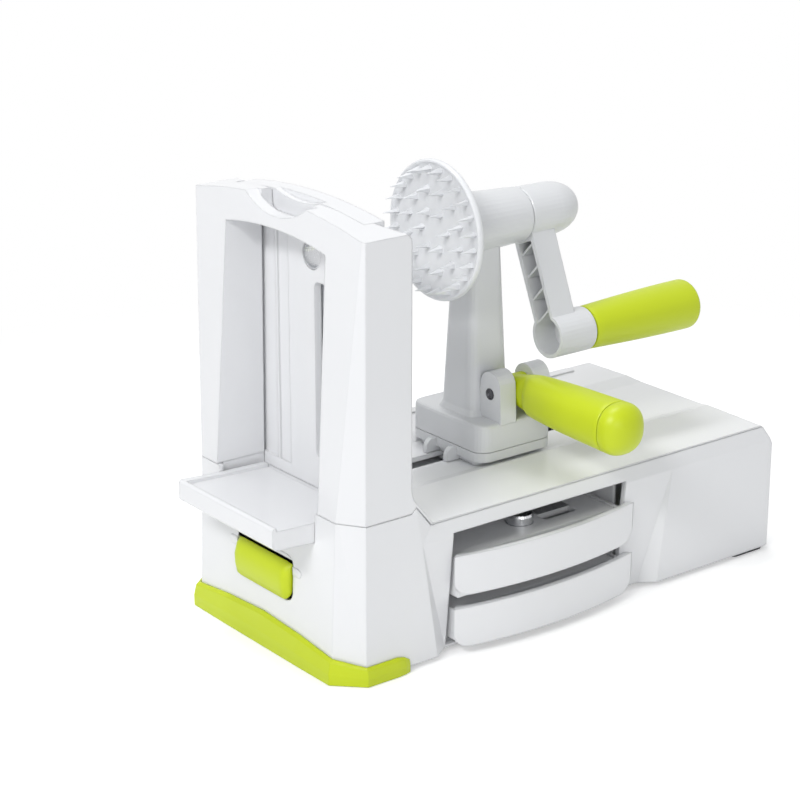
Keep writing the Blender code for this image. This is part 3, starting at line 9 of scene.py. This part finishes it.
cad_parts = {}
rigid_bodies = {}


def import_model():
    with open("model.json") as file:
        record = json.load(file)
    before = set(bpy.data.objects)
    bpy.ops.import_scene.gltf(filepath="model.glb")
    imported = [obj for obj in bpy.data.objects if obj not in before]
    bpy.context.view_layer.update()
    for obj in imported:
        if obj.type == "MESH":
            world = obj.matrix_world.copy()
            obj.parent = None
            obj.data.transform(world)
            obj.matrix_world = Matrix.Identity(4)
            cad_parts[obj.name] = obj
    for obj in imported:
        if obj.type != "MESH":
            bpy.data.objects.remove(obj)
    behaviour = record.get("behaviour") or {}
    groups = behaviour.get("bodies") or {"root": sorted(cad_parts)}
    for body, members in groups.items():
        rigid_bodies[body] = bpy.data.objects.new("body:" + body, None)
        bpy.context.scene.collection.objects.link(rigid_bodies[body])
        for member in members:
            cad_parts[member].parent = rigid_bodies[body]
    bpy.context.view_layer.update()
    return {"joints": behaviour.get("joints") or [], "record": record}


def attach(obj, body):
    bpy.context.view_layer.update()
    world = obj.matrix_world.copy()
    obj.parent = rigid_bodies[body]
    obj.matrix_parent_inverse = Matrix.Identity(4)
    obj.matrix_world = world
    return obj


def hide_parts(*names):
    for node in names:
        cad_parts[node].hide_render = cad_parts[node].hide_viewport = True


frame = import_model()

# Camera that the photograph was taken with, in metres and pixels of an 800 x 800 picture
IMAGE = 800
FOCAL_PX = 2241.85
CENTRE_Y_PX = 384.22
CAMERA_AT = Vector((-0.5719, -0.8084, 0.4590))
CAMERA_FORWARD = Vector((0.5788, 0.7497, -0.3209))
SENSOR_MM = 36.0
CLIP = (0.01, 50)

# Studio, in metres and watts
LAMPS = (                   # name, place, target, width, power
    ("key", (-1.25, -0.45, 1.25), (0.08, 0, 0.1), 0.9, 15),
    ("fill", (-0.5, -1.7, 0.6), (0.05, 0, 0.08), 1.2, 4.5),
    ("top", (0.15, 0.35, 1.7), (0.1, 0, 0.05), 1.0, 10),
)
LAMP_DEPTH = 0.25
SKY_COLOUR = (0.96, 0.98, 1.0, 1)
SKY_STRENGTH = 0.44
FLOOR_HALF = 6.0
FLOOR_TONE = (0.90, 0.90, 0.90, 1)
FLOOR_GLOW = 0.34           # lifts the lit floor towards white for the eye
FLOOR_MIDDLE = (0.10, 0.0, 0.0)
FLOOR_FADE = (0.24, 0.52)   # between these distances the lit floor runs into plain white

# Colours, linear
WHITE = (0.80, 0.805, 0.82)
GREY = (0.71, 0.72, 0.735)
LIME = (0.54, 0.645, 0.001)
RUBBER = (0.045, 0.047, 0.05)
HOLDER = (0.78, 0.79, 0.81)
STEEL = (0.62, 0.63, 0.65)
DARK_STEEL = (0.10, 0.10, 0.11)

# Moulded plastics: name, colour, roughness, coat, strength of the grain, of the waves, radius of the edges
PLASTICS = {
    "white_shell": ("white_moulding", WHITE, 0.30, 0.25, 0.10, 0.05, 0.0012),
    "grey_plastic": ("grey_moulding", GREY, 0.36, 0.15, 0.12, 0.05, 0.0007),
    "lime_plastic": ("lime_moulding", LIME, 0.42, 0.03, 0.18, 0.05, 0.0008),
    "rubber": ("soft_rubber", RUBBER, 0.75, 0.0, 0.5, 0.08, 0.0005),
    "holder": ("holder_moulding", HOLDER, 0.30, 0.20, 0.08, 0.05, 0.0003),
}
STEELS = {"steel": ("bright_steel", STEEL), "dark_steel": ("blackened_steel", DARK_STEEL)}

PLASTIC_IOR = 1.53
COAT_ROUGHNESS = 0.12
GRAIN = {"Scale": 1400.0, "Detail": 3.0, "Roughness": 0.6}
WAVES = {"Scale": 22.0, "Detail": 2.0, "Roughness": 0.5}
CLOUDS = {"Scale": 9.0, "Detail": 4.0, "Roughness": 0.55}
TONE_RANGE = (0.965, 1.025)         # how far the clouds darken and lighten the colour
ROUGHNESS_RANGE = (-0.05, 0.07)     # how far the waves change the roughness
GRAIN_DEPTH = 0.0001
WAVE_DEPTH = 0.002
EDGE_SAMPLES = 4

DRAWN_LINES = {"Scale": 2200.0, "Detail": 2.0, "Roughness": 0.5}
DRAWN_STRETCH = (1, 1, 0.04)
DRAWN_ROUGHNESS = (0.16, 0.34)
DRAWN_STRENGTH = 0.15
DRAWN_DEPTH = 0.00005

# New pieces: their edges stay sharp above this many degrees, and are rounded above ROUND_ANGLE
SHARP_ANGLE = 38
ROUND_ANGLE = 40

# The suction lever, in metres, hung from the axis of its joint
LEVER_HALF = 0.0218         # half width
LEVER_LOW = 0.0291          # height of its lowest point over the table
LEVER_TOP_R = 0.0035        # radius of the upper edge round the axle
LEVER_TOP_ARC = (20, 140, 8)
LEVER_SWELL = 0.0061        # how far the front stands out before the axle
LEVER_CORNER = 0.0046       # rounding of the lower corners
LEVER_THIN = 0.45           # how much thinner the plate gets in its corners
LEVER_STATIONS = 28
LEVER_SHOULDER = (-0.0044, 0.0006)          # from the axle: where the front leaves the round edge
LEVER_BELLY = -0.0042                       # from the axle: the height that stands out most
LEVER_BOW = (0.0002, -0.0016)               # middle of the front, from its swell and its half height
LEVER_LIP = (               # round the lower edge, from the swell and the low point
    (0.0012, 0.0014), (0.0026, 0.0), (0.0040, 0.0006))
LEVER_BACK_LOW = (-0.0006, 0.0034)          # from the axle and the low point
LEVER_BACK_HIGH = (0.0004, -0.0040)         # from the axle
LEVER_ROUNDING = 0.0008
LEVER_ROUND_ANGLE = 35

# Fingers of the lever that lift the stem
FINGER_Y = 0.0060           # each side of the middle
FINGER_SLICES = (           # from FINGER_Y, share of the radii
    (-0.0020, 0.82), (-0.0016, 1), (0.0016, 1), (0.0020, 0.82))
FINGER_AT = (0.0022, 0.0033)
FINGER_TIP_R = 0.0021
FINGER_ROOT_R = 0.0024
FINGER_TURN = (-35, 145, 325)
FINGER_STEPS = 12

# The front wall round the lever
WALL_FRONT = -0.02766       # outside of the wall above the lever
WALL_AT_AXLE = -0.02787     # and at the height of the axle
OPENING_HALF = 0.0227
OPENING_TOP = 0.0512
LINTEL_GAP = 0.0012         # room for the lever to turn
LINTEL_DEPTH = 0.0010
LINTEL_CORNER = 0.0044
LINTEL_ARC = (20, 90, 8)
LINTEL_ROUNDING = 0.0003
SEAT_END = 0.0272           # middle of the round end of an axle seat
SEAT_HALF = 0.0022
SEAT_SLICES = (             # from the wall, taken off the half height
    (-0.0004, 0.0005), (-0.0002, 0.0), (0.0006, 0.0))
SEAT_LAP = 0.0002
SEAT_STEPS = 10

# The push handle, in metres
EAR_GAP = (0.1020, 0.1140)  # between the ears of the carriage
HANDLE_PLAY = 0.0003
HANDLE_JOINT = -0.0922      # seam of the end cap
HANDLE_TIP = -0.1039
HANDLE_R = 0.0126
HANDLE_SQUARE = 0.86        # 1 is a round section
HANDLE_SIDES = 56
HANDLE_STEPS = 5
HANDLE_NECK = (             # distance from the pin, wider than the tongue by, half height
    (0.0020, 0, 0.0074), (0.0050, 0, 0.0081), (0.0085, 0, 0.0089), (0.0116, 0.0001, 0.0097))
HANDLE_BODY = (             # distance from the pin, half width, half height
    (0.0150, 0.0082, 0.0103), (0.0200, 0.0097, 0.0107), (0.0350, 0.0112, 0.0115), (0.0550, 0.0120, 0.0121))
HANDLE_END = (0.0008, 0.0124, 0.0125)       # distance before the seam, half width, half height
HANDLE_SEAM = (0.0003, 0.0121, 0.0122)
ROOT_R = (0.0068, 0.0073)   # round end of the tongue: at its faces and inside of them
ROOT_CHAMFER = 0.0006
ROOT_SIDES = 48
CAP_STEPS = 16
CAP_SPAN = (0.05, 0.945)    # first share of the cap's length, and the rest of them
CAP_STRAIGHT = 0.18         # share before the dome starts
CAP_POWER = 2.4
CAP_WIDTH = 0.99            # of its height

# The crank's grip, in metres
GRIP_X = (0.1489, 0.2188)
GRIP_R = (0.0109, 0.0128)
GRIP_RIM = 0.0030
GRIP_RIM_ARC = (81, 0, 9)
GRIP_LEAD = (               # rounded start, from its end and its radius
    (0.0, -0.0008), (0.0002, -0.0002), (0.0008, 0.0))
GRIP_STEPS = 16
GRIP_RING = (               # shallow ring in the flat end, from the end and the inside of the rim
    (0.0, -0.0004), (-0.0004, -0.0006), (-0.0004, -0.0009), (0.0, -0.0011))
GRIP_MIDDLE = (0.0001, 0.0040)

# The food holder, in metres
DISC_X = 0.0746
DISC_R = 0.0344
DISC_T = 0.0028
DISC_BORE = 0.0030
DISC_SIDES = 96
DISC_RIM = (                # raised rim, from the front face, share of the radius
    (0.0, 0.915), (-0.0003, 0.93), (-0.0008, 0.945), (-0.0011, 0.96), (-0.0010, 0.98), (-0.0005, 0.993),
    (0.0003, 1), (0.0013, 1), (0.0020, 0.99))
DISC_BACK = 0.96            # where the flat back starts, share of the radius
DISC_NECK = (               # from the back face, radius
    (0.0, 0.0140), (0.0004, 0.0120), (0.0014, 0.0108), (0.0030, 0.0103))
NECK_END = (0.0801, 0.0102)
TEETH = ((24, 0.86, 0.0098), (12, 0.58, 0.0092), (6, 0.28, 0.0086))     # count, share of the radius, length
TOOTH_HALF = (0.0024, 0.0017)       # half width of a tooth at its root, along the radius and across it
TOOTH_ROOT = 0.0006         # how deep a tooth starts in the disc
TOOTH_COLLAR = (0.0012, 0.86)       # distance along it, share of its width
TOOTH_TAPER = ((0.55, 0.42), (0.97, 0.10))      # share of its length, share of its width
TOOTH_ROUNDING = 0.00018
TOOTH_ROUND_ANGLE = 20
TOOTH_SECTION = ((1, 0), (0, 1), (-1, 0), (0, -1))

# The screw in the near ear of the carriage, in metres
EAR_FRONT = 0.0920          # outer face of the ear
SCREW_R = 0.0029
SCREW_SIDES = 40
SCREW_PROFILE = (           # domed head with a socket, from the ear's face and from its radius
    (0.0001, 0), (-0.0003, 0), (-0.0005, -0.0003), (-0.0005, -0.0007), (-0.0001, -0.0010),
    (-0.0001, -0.0016), (0.0002, -0.0018))

TURNED_SIDES = 72


# Camera, light and floor

def set_camera():
    data = bpy.data.cameras.new("camera")
    data.sensor_width = SENSOR_MM
    data.sensor_fit = "HORIZONTAL"
    data.lens = FOCAL_PX / IMAGE * SENSOR_MM
    data.shift_y = (CENTRE_Y_PX - IMAGE / 2) / IMAGE
    data.clip_start, data.clip_end = CLIP
    camera = bpy.data.objects.new("camera", data)
    bpy.context.collection.objects.link(camera)
    forward = CAMERA_FORWARD.normalized()
    right = forward.cross(Vector((0, 0, 1))).normalized()
    up = right.cross(forward)
    turn = Matrix((right, up, -forward)).transposed()
    camera.matrix_world = Matrix.Translation(CAMERA_AT) @ turn.to_4x4()
    bpy.context.scene.camera = camera


def area_light(name, place, target, width, power):
    data = bpy.data.lights.new(name, "AREA")
    data.shape = "RECTANGLE"
    data.size = width
    data.size_y = LAMP_DEPTH
    data.energy = power
    lamp = bpy.data.objects.new(name, data)
    bpy.context.collection.objects.link(lamp)
    direction = Vector(target) - Vector(place)
    lamp.location = place
    lamp.rotation_euler = direction.to_track_quat("-Z", "Y").to_euler()


def shader_node(tree, kind, **values):
    """A shader node with some of its inputs set."""
    made = tree.nodes.new(kind)
    for name, value in values.items():
        made.inputs[name].default_value = value
    return made


def math_node(tree, operation, first, second):
    """Output of a sum on a socket and a second socket or number."""
    made = tree.nodes.new("ShaderNodeMath")
    made.operation = operation
    tree.links.new(first, made.inputs[0])
    if isinstance(second, float):
        made.inputs[1].default_value = second
    else:
        tree.links.new(second, made.inputs[1])
    return made.outputs[0]


def map_range(tree, value, low, high):
    """Output of a value from 0 to 1 that is mapped to low to high."""
    made = shader_node(tree, "ShaderNodeMapRange", **{"To Min": low, "To Max": high})
    tree.links.new(value, made.inputs["Value"])
    return made.outputs[0]


def seen_directly(tree):
    """1 for the eye, for reflections and through clear things, 0 for the light that falls on the object."""
    path = tree.nodes.new("ShaderNodeLightPath")
    mirrored = math_node(tree, "MAXIMUM", path.outputs["Is Glossy Ray"], path.outputs["Is Transmission Ray"])
    return math_node(tree, "MAXIMUM", path.outputs["Is Camera Ray"], mirrored)


def mix_to_output(tree, kind, share, first, second):
    """First shader where share is 0, second where it is 1, into the output."""
    mix = tree.nodes.new("ShaderNodeMixShader")
    tree.links.new(share, mix.inputs[0])
    tree.links.new(first.outputs[0], mix.inputs[1])
    tree.links.new(second.outputs[0], mix.inputs[2])
    tree.links.new(mix.outputs[0], tree.nodes.new(kind).inputs[0])


def set_world():
    """Soft sky light that shows as plain white."""
    world = bpy.data.worlds.new("studio")
    bpy.context.scene.world = world
    world.use_nodes = True
    tree = world.node_tree
    tree.nodes.clear()
    light = shader_node(tree, "ShaderNodeBackground", Color=SKY_COLOUR, Strength=SKY_STRENGTH)
    seen = shader_node(tree, "ShaderNodeBackground", Color=(1, 1, 1, 1), Strength=1.0)
    mix_to_output(tree, "ShaderNodeOutputWorld", seen_directly(tree), light, seen)


def set_floor():
    """White table that keeps the object's shadow and runs into the white background further out."""
    mesh = bpy.data.meshes.new("studio_floor")
    half = FLOOR_HALF
    corners = [(-half, -half, 0), (half, -half, 0), (half, half, 0), (-half, half, 0)]
    mesh.from_pydata(corners, [], [(0, 1, 2, 3)])
    floor = bpy.data.objects.new("studio_floor", mesh)
    bpy.context.collection.objects.link(floor)
    material = bpy.data.materials.new("studio_floor")
    material.use_nodes = True
    tree = material.node_tree
    tree.nodes.clear()
    seen = seen_directly(tree)
    # Near the object the floor is lit and takes the shadow, with a little glow to lift it to white
    diffuse = shader_node(tree, "ShaderNodeBsdfDiffuse", Color=FLOOR_TONE)
    glow = tree.nodes.new("ShaderNodeEmission")
    tree.links.new(math_node(tree, "MULTIPLY", seen, FLOOR_GLOW), glow.inputs["Strength"])
    near = tree.nodes.new("ShaderNodeAddShader")
    tree.links.new(diffuse.outputs[0], near.inputs[0])
    tree.links.new(glow.outputs[0], near.inputs[1])
    # Further out it is plain white for the eye
    place = tree.nodes.new("ShaderNodeTexCoord")
    away = tree.nodes.new("ShaderNodeVectorMath")
    away.operation = "DISTANCE"
    away.inputs[1].default_value = FLOOR_MIDDLE
    tree.links.new(place.outputs["Object"], away.inputs[0])
    fade = shader_node(tree, "ShaderNodeMapRange", **{"From Min": FLOOR_FADE[0], "From Max": FLOOR_FADE[1]})
    fade.interpolation_type = "SMOOTHSTEP"
    tree.links.new(away.outputs["Value"], fade.inputs["Value"])
    plain = shader_node(tree, "ShaderNodeEmission", Strength=1.0)
    share = math_node(tree, "MULTIPLY", fade.outputs[0], seen)
    mix_to_output(tree, "ShaderNodeOutputMaterial", share, near, plain)
    mesh.materials.append(material)


# Materials

def new_material(name):
    """Material, its node tree, its shader and the object's own coordinates."""
    material = bpy.data.materials.new(name)
    material.use_nodes = True
    tree = material.node_tree
    place = tree.nodes.new("ShaderNodeTexCoord")
    return material, tree, tree.nodes["Principled BSDF"], place.outputs["Object"]


def bump_node(tree, strength, depth, height, normal=None):
    made = shader_node(tree, "ShaderNodeBump", Strength=strength, Distance=depth)
    tree.links.new(height, made.inputs["Height"])
    if normal is not None:
        tree.links.new(normal, made.inputs["Normal"])
    return made.outputs[0]


def plastic(name, colour, roughness, coat, speckle, wave, edge):
    """Moulded plastic: fine grain, slow unevenness of the moulding, and softly broken edges."""
    material, tree, shader, place = new_material(name)
    shader.inputs["IOR"].default_value = PLASTIC_IOR
    shader.inputs["Coat Weight"].default_value = coat
    shader.inputs["Coat Roughness"].default_value = COAT_ROUGHNESS

    noises = []
    for values in (GRAIN, WAVES, CLOUDS):
        noise = shader_node(tree, "ShaderNodeTexNoise", **values)
        tree.links.new(place, noise.inputs["Vector"])
        noises.append(noise.outputs["Fac"])
    grain, waves, clouds = noises

    tint = tree.nodes.new("ShaderNodeVectorMath")
    tint.operation = "SCALE"
    tint.inputs[0].default_value = colour
    tree.links.new(map_range(tree, clouds, *TONE_RANGE), tint.inputs["Scale"])
    tree.links.new(tint.outputs[0], shader.inputs["Base Color"])

    least, most = (roughness + change for change in ROUGHNESS_RANGE)
    tree.links.new(map_range(tree, waves, least, most), shader.inputs["Roughness"])

    rim = shader_node(tree, "ShaderNodeBevel", Radius=edge)
    rim.samples = EDGE_SAMPLES
    uneven = bump_node(tree, wave, WAVE_DEPTH, waves, rim.outputs[0])
    tree.links.new(bump_node(tree, speckle, GRAIN_DEPTH, grain, uneven), shader.inputs["Normal"])
    return material


def steel(name, tone):
    """Rolled steel with fine drawing lines."""
    material, tree, shader, place = new_material(name)
    shader.inputs["Base Color"].default_value = (*tone, 1)
    shader.inputs["Metallic"].default_value = 1.0
    stretch = shader_node(tree, "ShaderNodeMapping", Scale=DRAWN_STRETCH)
    lines = shader_node(tree, "ShaderNodeTexNoise", **DRAWN_LINES)
    tree.links.new(place, stretch.inputs["Vector"])
    tree.links.new(stretch.outputs[0], lines.inputs["Vector"])
    drawn = lines.outputs["Fac"]
    tree.links.new(map_range(tree, drawn, *DRAWN_ROUGHNESS), shader.inputs["Roughness"])
    tree.links.new(bump_node(tree, DRAWN_STRENGTH, DRAWN_DEPTH, drawn), shader.inputs["Normal"])
    return material


# Shapes of new pieces

def joint_at(name):
    return next(joint for joint in frame["joints"] if joint["name"] == name)["pos_m"]


def arc(cx, cz, radius, start, end, steps):
    """Points of an arc, in degrees."""
    turns = [math.radians(start + (end - start) * i / steps) for i in range(steps + 1)]
    return [(cx + radius * math.cos(t), cz + radius * math.sin(t)) for t in turns]


def put(name, made):
    """Object of the mesh that was built."""
    bmesh.ops.recalc_face_normals(made, faces=made.faces)
    mesh = bpy.data.meshes.new(name)
    made.to_mesh(mesh)
    made.free()
    piece = bpy.data.objects.new(name, mesh)
    bpy.context.collection.objects.link(piece)
    return piece


def skin(made, rings):
    """Closed skin through rings of equal length, with flat ends."""
    rows = [[made.verts.new(point) for point in ring] for ring in rings]
    count = len(rings[0])
    for row, following in zip(rows, rows[1:]):
        for i in range(count):
            j = (i + 1) % count
            made.faces.new((row[i], row[j], following[j], following[i]))
    made.faces.new(rows[0][::-1])
    made.faces.new(rows[-1])


def loft(name, rings):
    """Smooth piece through rings of equal length."""
    made = bmesh.new()
    skin(made, rings)
    piece = put(name, made)
    piece.data.shade_smooth()
    piece.data.set_sharp_from_angle(angle=math.radians(SHARP_ANGLE))
    return piece


def turned(name, profile, centre, sides=TURNED_SIDES):
    """Solid of revolution round a line along X, from (x, radius) pairs."""
    rings = []
    for x, radius in profile:
        rings.append([(x, centre[0] + y, centre[1] + z) for y, z in arc(0, 0, radius, 0, 360, sides)[:-1]])
    return loft(name, rings)


def curve_through(rows, steps):
    """Rows of numbers on a smooth curve through the given rows."""
    out = []
    for i in range(len(rows) - 1):
        a, b, c, d = rows[max(i - 1, 0)], rows[i], rows[i + 1], rows[min(i + 2, len(rows) - 1)]
        for k in range(steps):
            t = k / steps
            out.append([0.5 * (2 * q + (r - p) * t + (2 * p - 5 * q + 4 * r - s) * t * t
                               + (3 * q - p - 3 * r + s) * t ** 3) for p, q, r, s in zip(a, b, c, d)])
    out.append(list(rows[-1]))
    return out


def soften(piece, width, segments=3, angle=ROUND_ANGLE):
    """Rounded edges of a new piece."""
    bevel = piece.modifiers.new("rounded_edges", "BEVEL")
    bevel.width = width
    bevel.segments = segments
    bevel.limit_method = "ANGLE"
    bevel.angle_limit = math.radians(angle)
    bevel.harden_normals = False
    return piece


# New pieces

def make_lever():
    """Swelling plate that hangs from its round upper edge, with two fingers behind it."""
    ax, _, az = joint_at("suction_lever_hinge")
    rings = []
    for k in range(LEVER_STATIONS + 1):
        y = LEVER_HALF * math.sin((k / LEVER_STATIONS - 0.5) * math.pi)
        over = min(max(0.0, abs(y) - (LEVER_HALF - LEVER_CORNER)), LEVER_CORNER)
        low = LEVER_LOW + LEVER_CORNER - math.sqrt(LEVER_CORNER ** 2 - over ** 2)
        edge = 1 - LEVER_THIN * (over / LEVER_CORNER) ** 3
        front = ax - LEVER_SWELL * edge
        ring = [(ax + x * edge, az + z * (1 - LEVER_THIN + LEVER_THIN * edge))
                for x, z in arc(0, 0, LEVER_TOP_R, *LEVER_TOP_ARC)]
        ring += [(ax + LEVER_SHOULDER[0] * edge, az + LEVER_SHOULDER[1]),
                 (front, az + LEVER_BELLY),
                 (front + LEVER_BOW[0], (low + az) / 2 + LEVER_BOW[1])]
        ring += [(front + x * edge, low + z) for x, z in LEVER_LIP]
        ring += [(ax + LEVER_BACK_LOW[0], low + LEVER_BACK_LOW[1]),
                 (ax + LEVER_BACK_HIGH[0], az + LEVER_BACK_HIGH[1])]
        rings.append([(x, y, z) for x, z in ring])
    plate = soften(loft("suction_lever_plate", rings), LEVER_ROUNDING, 3, LEVER_ROUND_ANGLE)
    fingers = []
    for side, word in ((-1, "near"), (1, "far")):
        rings = []
        for offset, share in FINGER_SLICES:
            start, turn, end = FINGER_TURN
            tip = arc(ax + FINGER_AT[0], az + FINGER_AT[1], FINGER_TIP_R * share, start, turn, FINGER_STEPS)
            root = arc(ax, az, FINGER_ROOT_R * share, turn, end, FINGER_STEPS)
            rings.append([(x, side * (FINGER_Y + offset), z) for x, z in tip + root])
        fingers.append(loft("suction_lever_finger_" + word, rings))
    for piece in (plate, *fingers):
        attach(piece, "suction_lever")
        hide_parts("suction_lever")
    return [plate, *fingers]


def make_lever_lintel():
    """Lip of the front wall that comes down to the lever, and the wall over the ends of the axle."""
    _, _, axle_z = joint_at("suction_lever_hinge")
    low = axle_z + LEVER_TOP_R + LINTEL_GAP
    corner_y, corner_z = OPENING_HALF - LINTEL_CORNER, OPENING_TOP - LINTEL_CORNER
    start, end, steps = LINTEL_ARC
    outline = [(-OPENING_HALF, low), (OPENING_HALF, low)]
    outline += arc(corner_y, corner_z, LINTEL_CORNER, start, end, steps)
    outline += arc(-corner_y, corner_z, LINTEL_CORNER, 180 - end, 180 - start, steps)
    rings = [[(x, y, z) for y, z in outline] for x in (WALL_FRONT, WALL_FRONT + LINTEL_DEPTH)]
    made = [soften(loft("lever_lintel", rings), LINTEL_ROUNDING, 2)]
    inner = OPENING_HALF + SEAT_LAP
    for side, word in ((-1, "near"), (1, "far")):
        rings = []
        for offset, shrink in SEAT_SLICES:
            half = SEAT_HALF - shrink
            outline = arc(SEAT_END, 0, half, -90, 90, SEAT_STEPS) + [(inner, half), (inner, -half)]
            rings.append([(WALL_AT_AXLE + offset, side * y, axle_z + z) for y, z in outline])
        made.append(loft("axle_seat_" + word, rings))
    for piece in made:
        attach(piece, "base")
    return made


def handle_ring(x, z, y, half_x, half_z):
    """Section of the push handle, between a circle and a square."""
    ring = []
    for turn in (2 * math.pi * i / HANDLE_SIDES for i in range(HANDLE_SIDES)):
        c, s = math.cos(turn), math.sin(turn)
        ring.append((x + half_x * math.copysign(abs(c) ** HANDLE_SQUARE, c), y,
                     z + half_z * math.copysign(abs(s) ** HANDLE_SQUARE, s)))
    return ring


def make_push_handle():
    """Tongue round the pin, body that swells towards the hand, and a domed cap behind a fine seam."""
    x = (EAR_GAP[0] + EAR_GAP[1]) / 2
    tongue = (EAR_GAP[1] - EAR_GAP[0]) / 2 - HANDLE_PLAY
    _, pin_y, pin_z = joint_at("push_handle_fold")
    rows = [(pin_y - away, tongue + wider, half_z) for away, wider, half_z in HANDLE_NECK]
    rows += [(pin_y - away, half_x, half_z) for away, half_x, half_z in HANDLE_BODY]
    rows.append((HANDLE_JOINT + HANDLE_END[0], *HANDLE_END[1:]))
    rings = [handle_ring(x, pin_z, *row) for row in curve_through(rows, HANDLE_STEPS)]
    seam, *section = HANDLE_SEAM
    rings.append(handle_ring(x, pin_z, HANDLE_JOINT + seam, *section))
    body = loft("push_handle_body", rings)

    face, inside = ROOT_R
    profile = [(x - tongue, face), (x - tongue + ROOT_CHAMFER, inside),
               (x + tongue - ROOT_CHAMFER, inside), (x + tongue, face)]
    root = turned("push_handle_root", profile, (pin_y, pin_z), ROOT_SIDES)

    rings = [handle_ring(x, pin_z, HANDLE_JOINT, *section)]
    for i in range(CAP_STEPS + 1):
        share = CAP_SPAN[0] + CAP_SPAN[1] * math.sin(i / CAP_STEPS * math.pi / 2)
        swell = (1 - (max(share - CAP_STRAIGHT, 0) / (1 - CAP_STRAIGHT)) ** CAP_POWER) ** 0.5
        rings.append(handle_ring(x, pin_z, HANDLE_JOINT + (HANDLE_TIP - HANDLE_JOINT) * share,
                                 HANDLE_R * CAP_WIDTH * swell, HANDLE_R * swell))
    cap = loft("push_handle_end", rings)
    for piece, node_name in ((body, "push_handle"), (root, "push_handle"), (cap, "push_handle_cap")):
        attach(piece, "push_handle")
        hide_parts(node_name)
    return [body, root, cap]


def make_crank_grip():
    """Turning grip with a rounded rim and a shallow ring in its flat end."""
    x0, x1 = GRIP_X
    r0, r1 = GRIP_R
    profile = [(x0 + along, r0 + out) for along, out in GRIP_LEAD]
    start = x0 + GRIP_LEAD[-1][0]
    for i in range(1, GRIP_STEPS + 1):
        share = i / GRIP_STEPS
        profile.append((start + (x1 - GRIP_RIM - start) * share,
                        r0 + (r1 - r0) * math.sin(share * math.pi / 2)))
    profile += arc(x1 - GRIP_RIM, r1 - GRIP_RIM, GRIP_RIM, *GRIP_RIM_ARC)
    profile += [(x1 + along, r1 - GRIP_RIM + out) for along, out in GRIP_RING]
    profile.append((x1 + GRIP_MIDDLE[0], GRIP_MIDDLE[1]))
    _, y, z = joint_at("crank_grip_spin")
    grip = turned("crank_grip_body", profile, (y, z))
    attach(grip, "crank_grip")
    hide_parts("crank_grip")
    return grip


def tooth_rings(front, y, z, turn, share, length):
    """Sections of one pointed tooth that stands on the disc at an angle and a share of its radius."""
    out = Vector((0, math.sin(turn), math.cos(turn)))
    across = Vector((0, math.cos(turn), -math.sin(turn)))
    root = Vector((front + TOOTH_ROOT, y, z)) + out * DISC_R * share
    for along, size in ((0, 1.0), TOOTH_COLLAR, *((length * part, size) for part, size in TOOTH_TAPER)):
        middle = root - Vector((along, 0, 0))
        yield [middle + size * (out * a * TOOTH_HALF[0] + across * b * TOOTH_HALF[1])
               for a, b in TOOTH_SECTION]


def make_food_holder():
    """Thin disc with a raised rim and three rings of pointed teeth."""
    _, y, z = joint_at("crank_turn")
    front, back = DISC_X - DISC_T / 2, DISC_X + DISC_T / 2
    profile = [(front, DISC_BORE)]
    profile += [(front + along, DISC_R * share) for along, share in DISC_RIM]
    profile.append((back, DISC_R * DISC_BACK))
    profile += [(back + along, radius) for along, radius in DISC_NECK]
    profile.append(NECK_END)
    disc = turned("food_holder_disc", profile, (y, z), DISC_SIDES)
    made = bmesh.new()
    for count, share, length in TEETH:
        for i in range(count):
            skin(made, list(tooth_rings(front, y, z, 2 * math.pi * (i + 0.5) / count, share, length)))
    teeth = soften(put("food_holder_teeth", made), TOOTH_ROUNDING, 2, TOOTH_ROUND_ANGLE)
    for piece in (disc, teeth):
        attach(piece, "crank")
        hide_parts("food_holder")
    return [disc, teeth]


def make_ear_screw():
    """Socket head of the screw that holds the pin, in the near ear."""
    _, y, z = joint_at("push_handle_fold")
    profile = [(EAR_FRONT + along, SCREW_R + out) for along, out in SCREW_PROFILE]
    screw = turned("ear_screw", profile, (y, z), SCREW_SIDES)
    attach(screw, "carriage")
    return screw


def finish_pieces():
    """Every carried-over node and every new piece with its material."""
    finishes = {key: plastic(*values) for key, values in PLASTICS.items()}
    finishes.update({key: steel(*values) for key, values in STEELS.items()})
    for item in frame["record"]["subparts"]:
        materials = bpy.data.objects[item["node"]].data.materials
        materials.clear()
        materials.append(finishes[item["material_slot"]])
    for pieces, finish in ((make_lever(), "lime_plastic"), (make_lever_lintel(), "white_shell"),
                           (make_push_handle(), "lime_plastic"), ([make_crank_grip()], "lime_plastic"),
                           (make_food_holder(), "holder"), ([make_ear_screw()], "dark_steel")):
        for piece in pieces:
            piece.data.materials.append(finishes[finish])


set_camera()
set_world()
set_floor()
for row in LAMPS:
    area_light(*row)
finish_pieces()

bpy.context.scene.view_settings.view_transform = "Standard"
